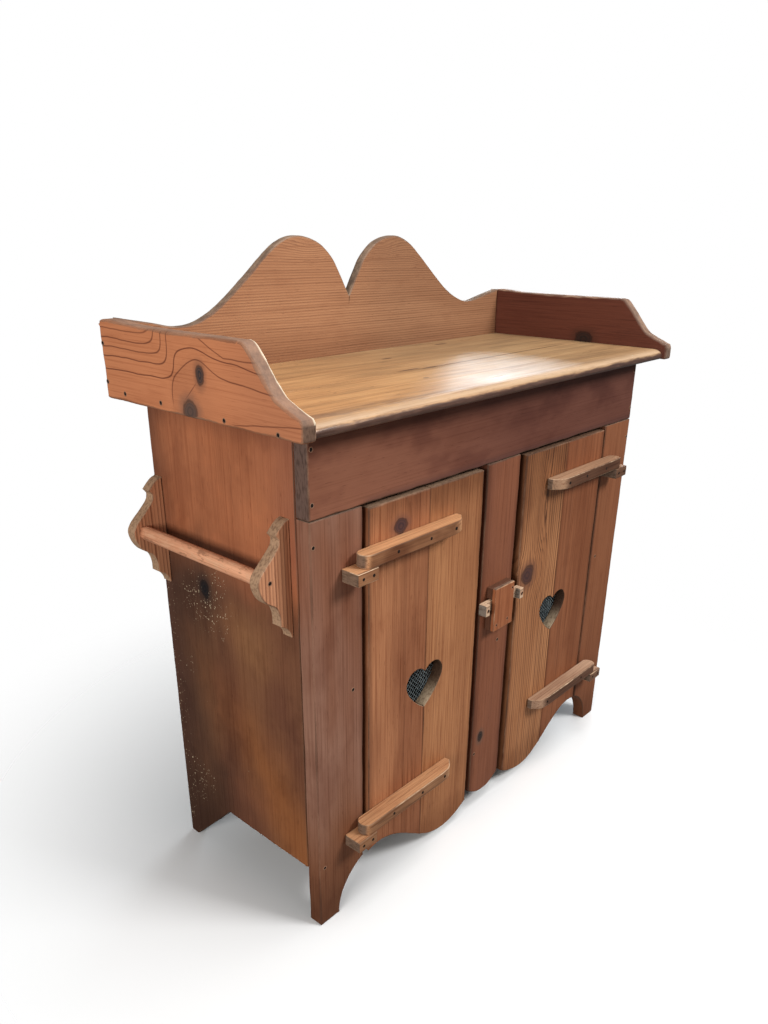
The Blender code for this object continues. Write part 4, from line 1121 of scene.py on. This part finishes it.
# The keeper's spacers are dark as painted shade round the bolt
spacer_pine = pine(
    "spacer_pine", "zxy", (0.120, 0.052, 0.030), (0.07, 0.030, 0.018), pitch=0.009, pith=(0.4, 0.2),
    lines=0.4,
)
bolt_pine = pine(
    "bolt_pine", "xyz", (0.72, 0.530, 0.370), (0.22, 0.105, 0.055), pitch=0.006, pith=(0.3, 0.5), lines=0.5,
    worn=(0.54, 0.38, 0.25), edges=0.8, end=(0.165, 0.155, 0.140),
)
rod_pine = pine(
    "rod_pine", "yxz", (0.84, 0.430, 0.255), (0.48, 0.190, 0.100), pitch=0.007, pith=(-0.6, 0.55), lines=0.5,
    rough=0.5, extra=rod_marks, blotch=0.8,
)


def iron_finish():
    """Old nail iron: near black with brown rust patches."""
    f = Finish("iron")
    rust = f.noise(f.x * 700, f.y * 700, f.z * 700, 3.0, 0.6)
    colour = f.mix(rust.step(0.48, 0.68), (0.006, 0.005, 0.005), (0.040, 0.018, 0.010))
    return f.done(colour, 0.60 + rust * 0.3, rust, 0.0002, Specular_IOR_Level=0.2)


def zinc_finish():
    """Galvanised wire: blue grey, dull, with a cloudy bloom."""
    f = Finish("zinc")
    bloom = f.noise(f.x * 160, f.y * 160, f.z * 160, 3.0, 0.6)
    colour = f.mix(bloom.step(0.35, 0.65), (0.17, 0.215, 0.235), (0.32, 0.375, 0.395))
    return f.done(colour, 0.42 + bloom * 0.2, bloom, 0.0001, Metallic=0.2)


def rim_finish():
    """Crushed pale fibres round a nail."""
    f = Finish("nail_rim")
    fray = f.noise(f.x * 900, f.y * 900, f.z * 500, 2.0)
    colour = f.mix(fray, (0.36, 0.20, 0.12), (0.22, 0.10, 0.055))
    return f.done(colour, 0.7 + fray * 0.1, fray, 0.0002)


iron = iron_finish()
zinc = zinc_finish()
nail_rim = rim_finish()


# Case

SIDE_FINISH = {"left": side_pine, "right": right_side_pine}
STILE_FINISH = {"left": stile_pine, "right": right_stile_pine}


def side_outline(node):
    """A side panel from the side: a rectangle with its foot cut away, but for a slanted piece at the rear."""
    fore, aft = between(node, Y)
    return [(fore, SIDE_CUT_HEIGHT), (aft - REAR_FOOT_TOP, SIDE_CUT_HEIGHT), (aft - REAR_FOOT_BASE, 0.0),
            (aft, 0.0), (aft, CASE_TOP), (fore, CASE_TOP)]


def stile_outline():
    """The right stile: a straight outer edge, and a foot cut by part of the arch's ellipse."""
    turn = np.linspace(0, math.acos((STILE_EDGE - ARCH_CROWN) / ARCH_SPAN), 26)
    arch = np.stack([ARCH_CROWN + ARCH_SPAN * np.cos(turn), ARCH_HEIGHT * np.sin(turn)], 1)
    return np.vstack([[(HALF_WIDTH, STILE_TOP), (HALF_WIDTH, 0.0)], arch, [(STILE_EDGE, STILE_TOP)]])


def centre_outline():
    """The centre stile: straight edges, and the bowl of the foot line below."""
    x = np.linspace(CENTRE_EDGE, -CENTRE_EDGE, 25)
    bowl = np.stack([x, foot_line(np.abs(x))], 1)
    return np.vstack([[(CENTRE_EDGE, STILE_TOP)], bowl, [(-CENTRE_EDGE, STILE_TOP)]])


for word, side in SIDES:
    name = f"{word}_side_panel"
    board(name, side_outline(name), X, SIDE_FINISH[word], "pine_side", Z, edge=0.0015,
          span=outer_first(name, side))
board("top_rail", rectangle("top_rail", Y), Y, rail_pine, "pine_frame", X, edge=0.0032, corner=0.0035)
for word, side in SIDES:
    name = f"{word}_stile"
    board(name, stile_outline() * (side, 1), Y, STILE_FINISH[word], "pine_frame", Z, edge=0.0026)
board("centre_stile", centre_outline(), Y, centre_pine, "pine_frame", Z, edge=0.0026)

# Top


def nosed_outline():
    """The front top board from the side: its nose is rolled off by a quarter of an ellipse above and
    rounded by a quarter of a circle below."""
    fore, aft = between("top_board_front", Y)
    low, high = between("top_board_front", Z)
    turn = np.linspace(0, math.pi / 2, 10)
    sweep = np.stack([1 - np.sin(turn), 1 - np.cos(turn)], 1)
    upper = (fore, high) + sweep * (NOSE_ROLL, -NOSE_DROP)
    lower = ((fore, low) + sweep * (NOSE_RADIUS, NOSE_RADIUS))[::-1]
    return np.vstack([[(aft, low), (aft, high)], upper, lower])


board("top_board_front", nosed_outline(), X, top_pine, "pine_top", X, edge=0.0008, corner=0.0006, rings=90,
      step=0.004, wear=0.5)
board("top_board_rear", rectangle("top_board_rear", X), X, top_pine, "pine_top", X, edge=0.0008,
      corner=0.0006, rings=60, wear=0.3)

# Gallery

GALLERY_FINISH = {"left": gallery_pine, "right": right_gallery_pine}


def gallery_outline():
    """A gallery from the side: the rear swell, a level top, the hollowed ogee and a blunt nose."""
    fore, aft = between("left_gallery", Y)
    base, top = between("left_gallery", Z)
    waist = base + OGEE_WAIST_HEIGHT
    start = fore + OGEE_LENGTH
    swell = flowing([(aft - inside, top + over) for inside, over in GALLERY_SWELL], 6)
    ogee = flowing([
        (start + 0.6 * OGEE_HOLLOW, top),
        (start - 0.11 * OGEE_LENGTH + OGEE_HOLLOW, top - 0.05 * (top - waist)),
        (start - 0.25 * OGEE_LENGTH + OGEE_HOLLOW, top - 0.33 * (top - waist)),
        (start - 0.54 * OGEE_LENGTH + OGEE_HOLLOW, waist),
        (start - 0.69 * OGEE_LENGTH + OGEE_HOLLOW, waist - 0.42 * (waist - GALLERY_NOSE)),
        (fore + 0.004, GALLERY_NOSE),
    ])
    return np.vstack([[(aft, base)], swell, ogee, [(fore, GALLERY_NOSE - GALLERY_BLUNT), (fore, base)]])


def splash_outline():
    """The backsplash: two humps beside a notch, each falling to a dip and rising a little to its end."""
    reach = HIGH["backsplash"][X]
    rise = HUMP_HEIGHT - NOTCH_HEIGHT
    fall = HUMP_HEIGHT - DIP_HEIGHT
    run = DIP_OFFSET - HUMP_OFFSET
    wing = flowing([
        (0.0, CASE_TOP + NOTCH_HEIGHT),
        (0.17 * HUMP_OFFSET, CASE_TOP + NOTCH_HEIGHT + 0.34 * rise),
        (0.35 * HUMP_OFFSET, CASE_TOP + NOTCH_HEIGHT + 0.66 * rise),
        (0.62 * HUMP_OFFSET, CASE_TOP + NOTCH_HEIGHT + 0.90 * rise),
        (HUMP_OFFSET, CASE_TOP + HUMP_HEIGHT),
        (HUMP_OFFSET + 0.17 * run, CASE_TOP + HUMP_HEIGHT - 0.09 * fall),
        (HUMP_OFFSET + 0.33 * run, CASE_TOP + HUMP_HEIGHT - 0.31 * fall),
        (HUMP_OFFSET + 0.61 * run, CASE_TOP + HUMP_HEIGHT - 0.72 * fall),
        (HUMP_OFFSET + 0.82 * run, CASE_TOP + HUMP_HEIGHT - 0.94 * fall),
        (DIP_OFFSET, CASE_TOP + DIP_HEIGHT),
        ((DIP_OFFSET + reach) / 2, CASE_TOP + (DIP_HEIGHT + END_HEIGHT) / 2),
        (reach, CASE_TOP + END_HEIGHT),
    ])
    return np.vstack([[(reach, CASE_TOP)], wing[::-1], wing[1:] * (-1, 1), [(-reach, CASE_TOP)]])


def gallery_worn(path):
    """Wear along the gallery's top edge: from 0 to 1 over a few millimetres of height."""
    return np.clip((path[:, 1] - GALLERY_NOSE + 0.010) / 0.004, 0, 1)


def splash_worn(path):
    """Wear along the backsplash's top edge: from 0 to 1 over a few millimetres of height."""
    return np.clip((path[:, 1] - CASE_TOP - 0.09) / 0.004, 0, 1)


for word, side in SIDES:
    name = f"{word}_gallery"
    span = np.array(outer_first(name, side)) - (side * GALLERY_INSET, 0)
    board(name, gallery_outline(), X, GALLERY_FINISH[word], "pine_gallery", Y, edge=0.0045, corner=0.006,
          wear=0.7, step=0.004, span=span, worn=gallery_worn)
board("backsplash", splash_outline(), Y, backsplash_pine, "pine_gallery", X, edge=0.0030, step=0.004,
      wear=0.5, worn=splash_worn)

# Doors

DOOR_ARRIS = 0.0026
HEART_ARRIS = 0.0012
JOINT_ARRIS = 0.0005


def at_heart(path):
    """1 on the cut wall of the heart, else 0."""
    far = np.abs(np.abs(path[:, 0]) - DOOR_JOINT)
    high = np.abs(path[:, 1] - HEART_TIP_HEIGHT - HEART_HEIGHT / 2)
    across = (far > 2 * HEART_GAP) & (far < HEART_WIDTH / 2 + MILLIMETRE)
    return (across & (high < HEART_HEIGHT / 2 + MILLIMETRE)).astype(float)


def door_edge(path):
    """Radius of a door board's arris: small along the joint and round the heart, larger elsewhere."""
    at_joint = np.abs(np.abs(path[:, 0]) - DOOR_JOINT) < MILLIMETRE
    return np.where(at_joint, JOINT_ARRIS, np.where(at_heart(path) > 0, HEART_ARRIS, DOOR_ARRIS))


def door_outline(node, outward):
    """A right door's board: straight edges, half the heart cut from the joint, and the foot line below."""
    edge_x = np.sort(np.abs(between(node, X)))[::outward][1]
    notch = half_heart() * (outward, 1) + (DOOR_JOINT, 0)
    foot_x = np.linspace(DOOR_JOINT, edge_x, 40)
    foot = np.stack([foot_x, foot_line(foot_x)], 1)
    return np.vstack([[(edge_x, DOOR_TOP), (DOOR_JOINT, DOOR_TOP)], notch, foot])


for word, side in SIDES:
    for place, outward in (("outer", 1), ("inner", -1)):
        name = f"{word}_door_{place}_board"
        board(name, door_outline(name, outward) * (side, 1), Y, door_pines[f"{word}_{place}"], "pine_door", Z,
              f"{word}_door", edge=door_edge, wear=0.0, step=0.005, cut=at_heart)
    wire_net(f"{word}_heart_screen", zinc, "zinc_mesh", f"{word}_door")

# Hinges: bars on the doors, blocks on the stiles


def bar_outline():
    """A right hinge bar from above: half round about the pin, with a flat back and a prow towards its tip."""
    back = HINGE_Y + BAR_RADIUS
    tip = LOW["right_upper_hinge_bar"][X]
    turn = np.linspace(math.pi / 2, -math.pi / 2, 25)
    round_end = np.stack([HINGE_X + BAR_RADIUS * np.cos(turn), HINGE_Y + BAR_RADIUS * np.sin(turn)], 1)
    prow = flowing([
        (tip + BAR_PROW, BAR_FRONT),
        (tip + 0.45 * BAR_PROW, BAR_FRONT + 0.24 * BAR_RADIUS),
        (tip, back - BAR_TIP),
    ])
    return np.vstack([round_end, prow, [(tip, back)]])


for word, side in SIDES:
    for level in ("upper", "lower"):
        finish = bar_pines[f"{word}_{level}"]
        name = f"{word}_{level}_hinge_bar"
        board(name, bar_outline() * (side, 1), Z, finish, "pine_hinge", X, f"{word}_door", edge=0.0016,
              step=0.004, corner=0.0035, wear=0.6)
        name = f"{word}_{level}_hinge_block"
        board(name, rectangle(name, Z), Z, finish, "pine_hinge", X, edge=0.0015, step=0.004, wear=0.6)

# Latch


def bolt_outline():
    """The bolt from above: a thin web between two knobs."""
    back = HIGH["latch_bolt"][Y]
    neck = BOLT_HALF - KNOB_WIDTH
    knob = np.array([(BOLT_HALF, back), (BOLT_HALF, BOLT_FACE), (neck, BOLT_FACE), (neck, back - BOLT_WEB)])
    return np.vstack([knob, knob[::-1] * (-1, 1)])


board("latch_bolt", bolt_outline(), Z, bolt_pine, "pine_hinge", X, "latch_bolt", edge=0.0024, step=0.003,
      wear=0.5)
board("keeper_plate", rectangle("keeper_plate", Y), Y, keeper_pine, "pine_frame", Z, edge=0.0024, step=0.004,
      wear=0.5)

# Towel bars


def bracket_outline():
    """A right towel bracket from the front: a curved nose, a scroll round the rod and a tail."""
    low, high = between("left_front_towel_bracket", Z)
    wall = -HIGH["left_front_towel_bracket"][X]
    above = high - ROD_HEIGHT
    below = ROD_HEIGHT - low
    nose = flowing([
        (0.0, high),
        (0.14 * BRACKET_REACH, high - 0.03 * above),
        (0.30 * BRACKET_REACH, high - 0.12 * above),
        (0.43 * BRACKET_REACH, high - 0.22 * above),
    ], 6)
    scroll = flowing([
        (0.33 * BRACKET_REACH, high - 0.31 * above),
        (0.37 * BRACKET_REACH, high - 0.44 * above),
        (0.61 * BRACKET_REACH, high - 0.62 * above),
        (0.89 * BRACKET_REACH, high - 0.81 * above),
        (BRACKET_REACH, ROD_HEIGHT + 0.03 * above),
        (0.94 * BRACKET_REACH, ROD_HEIGHT - 0.15 * below),
        (0.78 * BRACKET_REACH, ROD_HEIGHT - 0.30 * below),
        (0.51 * BRACKET_REACH, ROD_HEIGHT - 0.42 * below),
        (0.40 * BRACKET_REACH, ROD_HEIGHT - 0.58 * below),
        (0.39 * BRACKET_REACH, ROD_HEIGHT - 0.75 * below),
    ], 8)
    tail = flowing([
        (0.20 * BRACKET_REACH, ROD_HEIGHT - 0.83 * below),
        (0.10 * BRACKET_REACH, ROD_HEIGHT - 0.92 * below),
        (0.06 * BRACKET_REACH, low),
    ], 6)
    return np.vstack([nose, scroll, tail, [(0.0, low)]]) + (wall, 0)


def all_round(path):
    """Cut wood on the whole of a sawn edge."""
    return np.full(len(path), 0.75)


for word, side in SIDES:
    for place in ("front", "rear"):
        name = f"{word}_{place}_towel_bracket"
        board(name, bracket_outline() * (side, 1), Y, bracket_pine, "pine_side", Z, edge=0.0016, step=0.003,
              corner=0.002, wear=0.5, cut=all_round)
    turned_rod(f"{word}_towel_rod", ROD_RADIUS, rod_pine, "pine_hinge")

# Nails. HEAD and RIM are profiles of radius and height. The frame's nails are given in millimetres from the
# middle and the floor, the galleries' from the front of the frame and the floor.

HEAD = ((0.0027, -0.0004), (0.0027, 0.00012), (0.0020, 0.00020), (0.0008, 0.00022))
RIM = ((0.0040, -0.0004), (0.0039, 0.00010), (0.0034, 0.00034), (0.0029, 0.00026), (0.0027, -0.0004))
FRAME_NAILS = ((-458, 825), (-459, 749), (-459, 688), (-383, 431), (-453, 120), (381, 436), (-39, 132),
               (15, 369), (458, 825), (459, 749), (459, 688), (453, 120))
GALLERY_NAILS = ((386, 930), (385, 874), (340, 861), (248, 860), (104, 856), (-3, 854))
BAR_NAILS = (0.054, 0.131, 0.195)
BLOCK_NAILS = (0.012, 0.034)
BAR_NAIL_SINK = 0.0003
LATCH_NAIL_SINK = 0.0002
FORWARDS = (0, -1, 0)


def nailed(name, spots, facing, body="case", rims=True):
    """Dark heads, and if wanted a low rim of crushed wood round each."""
    turned_spots(name + "_nails", spots, facing, HEAD, iron, "iron", body)
    if rims:
        turned_spots(name + "_nail_rims", spots, facing, RIM, nail_rim, "pine_frame", body)


nailed("frame", [(x / 1000, FRONT_Y, z / 1000) for x, z in FRAME_NAILS], FORWARDS)
for word, side in SIDES:
    outer = outer_first(f"{word}_gallery", side)[0] - side * GALLERY_INSET
    nailed(f"{word}_gallery", [(outer, FRONT_Y + y / 1000, z / 1000) for y, z in GALLERY_NAILS], (side, 0, 0))
for word, side in SIDES:
    bar_spots = []
    block_spots = []
    for level in ("upper", "lower"):
        bar_z = middle(f"{word}_{level}_hinge_bar", Z)
        bar_spots += [(side * (HINGE_X - far), BAR_FRONT + BAR_NAIL_SINK, bar_z) for far in BAR_NAILS]
        block = f"{word}_{level}_hinge_block"
        inner = outer_first(block, side)[1]
        face = LOW[block][Y] + BAR_NAIL_SINK
        block_spots += [(inner + side * far, face, middle(block, Z)) for far in BLOCK_NAILS]
    nailed(f"{word}_bars", bar_spots, FORWARDS, f"{word}_door", False)
    nailed(f"{word}_blocks", block_spots, FORWARDS, rims=False)
low, high = LOW["keeper_plate"], HIGH["keeper_plate"]
face = low[Y] + LATCH_NAIL_SINK
nailed("keeper", [(high[X] - 0.0075, face, high[Z] - 0.012), (low[X] + 0.044, face, low[Z] + 0.014),
                  (low[X] + 0.009, face, low[Z] + 0.012)], FORWARDS)
knob_x = BOLT_HALF - KNOB_WIDTH / 2
knobs = [(way * knob_x, BOLT_FACE + LATCH_NAIL_SINK, middle("latch_bolt", Z)) for way in (-1, 1)]
nailed("bolt", knobs, FORWARDS, "latch_bolt")
for word, _ in SIDES:
    for place, way, end in (("front", -1, LOW), ("rear", 1, HIGH)):
        nail = f"{word}_{place}_towel_nail"
        surface = end[f"{word}_{place}_towel_bracket"][Y]
        nailed(f"{word}_{place}_bracket", [(middle(nail, X), surface, middle(nail, Z))], (0, way, 0))

# What stays as it is in the model

for node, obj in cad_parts.items():
    if node.startswith("back_board"):
        finish = back_pine
    elif node.endswith("cleat"):
        finish = inside_pine
    elif node.startswith("keeper_spacer"):
        finish = spacer_pine
    elif node.endswith("shelf"):
        finish = shelf_pine
    elif node.endswith(("pin", "nail")):
        finish = iron
    else:
        continue
    obj.data.materials.clear()
    obj.data.materials.append(finish)


# Studio

FLOOR_HALF = 9
FLOOR_FADE = (0.42, 1.15)
FLOOR_PALE = (0.88, 0.90, 0.92)
FLOOR_DIM = (0.16, 0.15, 0.14)
WORLD_LIGHT = 0.16

# Lamps: name, place, target, size, power and colour
LAMPS = (
    ("ceiling_light", (0.2, -0.3, 2.8), (0.0, 0.0, 0.3), (1.6, 1.6), 47.0, (1.0, 0.98, 0.95)),
    ("left_light", (-3.1, -0.8, 1.25), (0.0, 0.0, 0.5), (1.4, 1.0), 62.0, (1.0, 0.96, 0.91)),
    ("front_light", (1.0, -2.4, 2.6), (0.0, 0.0, 0.4), (1.1, 0.9), 82.0, (1.0, 0.98, 0.96)),
    ("window_light", (2.4, 1.05, 1.25), (0.2, 0.0, 0.85), (1.2, 0.7), 24.0, (0.86, 0.94, 1.0)),
)


def floor_finish():
    """A pale floor that fades out with distance, so that only white is left behind it. It is dim in
    reflections and throws little light back, as a wooden floor would."""
    f = Finish("floor")
    f.done(FLOOR_PALE, 0.9, Specular_IOR_Level=0.0)
    far = (f.x * f.x + f.y * f.y).math("SQRT").step(*FLOOR_FADE)
    clear = f.node("ShaderNodeBsdfTransparent")
    dim = f.node("ShaderNodeBsdfDiffuse", None, {"Color": FLOOR_DIM})
    bounced = f.node("ShaderNodeLightPath", out="Is Diffuse Ray")
    mirrored = f.node("ShaderNodeLightPath", out="Is Glossy Ray")
    dimmed = mirrored.most(bounced * 0.7)
    ground = f.node("ShaderNodeMixShader", None, {0: dimmed, 1: Wire(f, f.shader.outputs[0]), 2: dim})
    seen = f.node("ShaderNodeMixShader", None, {0: far, 1: ground, 2: clear})
    output = next(node for node in f.tree.nodes if node.type == "OUTPUT_MATERIAL")
    f.feed(output.inputs[0], seen)
    return f.material


floor_mesh = bpy.data.meshes.new("floor")
floor_corners = [(x * FLOOR_HALF, y * FLOOR_HALF, 0) for x, y in ((-1, -1), (1, -1), (1, 1), (-1, 1))]
floor_mesh.from_pydata(floor_corners, [], [(0, 1, 2, 3)])
floor_mesh.materials.append(floor_finish())
floor = bpy.data.objects.new("floor", floor_mesh)
bpy.context.scene.collection.objects.link(floor)


def aimed(obj, place, target):
    """Puts a lamp at a place, looking at a target."""
    way = np.array(target, float) - place
    back_axis = -way / np.linalg.norm(way)
    right_axis = np.cross((0, 0, 1), back_axis)
    right_axis /= np.linalg.norm(right_axis)
    up_axis = np.cross(back_axis, right_axis)
    matrix = np.eye(4)
    matrix[:3, :4] = np.stack([right_axis, up_axis, back_axis, place], 1)
    obj.matrix_world = Matrix(matrix.tolist())
    bpy.context.scene.collection.objects.link(obj)


def soft_lamp(name, place, target, size, power, colour):
    """A wide lamp with a soft edge to its shadows."""
    lamp = bpy.data.lights.new(name, "AREA")
    lamp.shape = "RECTANGLE"
    lamp.size, lamp.size_y = size
    lamp.energy = power
    lamp.color = colour
    aimed(bpy.data.objects.new(name, lamp), place, target)


for lamp in LAMPS:
    soft_lamp(*lamp)

# The world: white where the camera or glass sees it, and a weak light on everything else

world = bpy.data.worlds.new("studio")
bpy.context.scene.world = world
world.use_nodes = True
nodes = world.node_tree.nodes
links = world.node_tree.links
nodes.clear()
rays = nodes.new("ShaderNodeLightPath")
seen = nodes.new("ShaderNodeMath")
seen.operation = "MAXIMUM"
links.new(rays.outputs["Is Camera Ray"], seen.inputs[0])
links.new(rays.outputs["Is Transmission Ray"], seen.inputs[1])
strength = nodes.new("ShaderNodeMapRange")
strength.inputs["To Min"].default_value = WORLD_LIGHT
strength.inputs["To Max"].default_value = 1.0
links.new(seen.outputs[0], strength.inputs[0])
sky = nodes.new("ShaderNodeBackground")
sky.inputs["Color"].default_value = (1.0, 1.0, 1.0, 1.0)
links.new(strength.outputs[0], sky.inputs["Strength"])
world_out = nodes.new("ShaderNodeOutputWorld")
links.new(sky.outputs[0], world_out.inputs[0])

# Camera, from the photograph's perspective

CAMERA_PLACE = (-1.1715, -0.93965, 1.0872)
CAMERA_FORWARD = (0.67938, 0.61117, -0.40611)
CAMERA_RIGHT = (0.67117, -0.74126, 0.00725)
CAMERA_DOWN = (-0.2966, -0.27749, -0.9138)
camera_data = bpy.data.cameras.new("camera")
camera_data.sensor_width = 36.0
camera_data.lens = 28.63
camera_data.shift_x = 0.0024
camera_data.shift_y = 0.078
camera_data.clip_start = 0.05
camera = bpy.data.objects.new("camera", camera_data)
columns = np.stack([CAMERA_RIGHT, -np.array(CAMERA_DOWN), -np.array(CAMERA_FORWARD), CAMERA_PLACE], 1)
camera.matrix_world = Matrix(np.vstack([columns, [0, 0, 0, 1]]).tolist())
bpy.context.scene.collection.objects.link(camera)
bpy.context.scene.camera = camera
bpy.context.scene.view_settings.view_transform = "Standard"
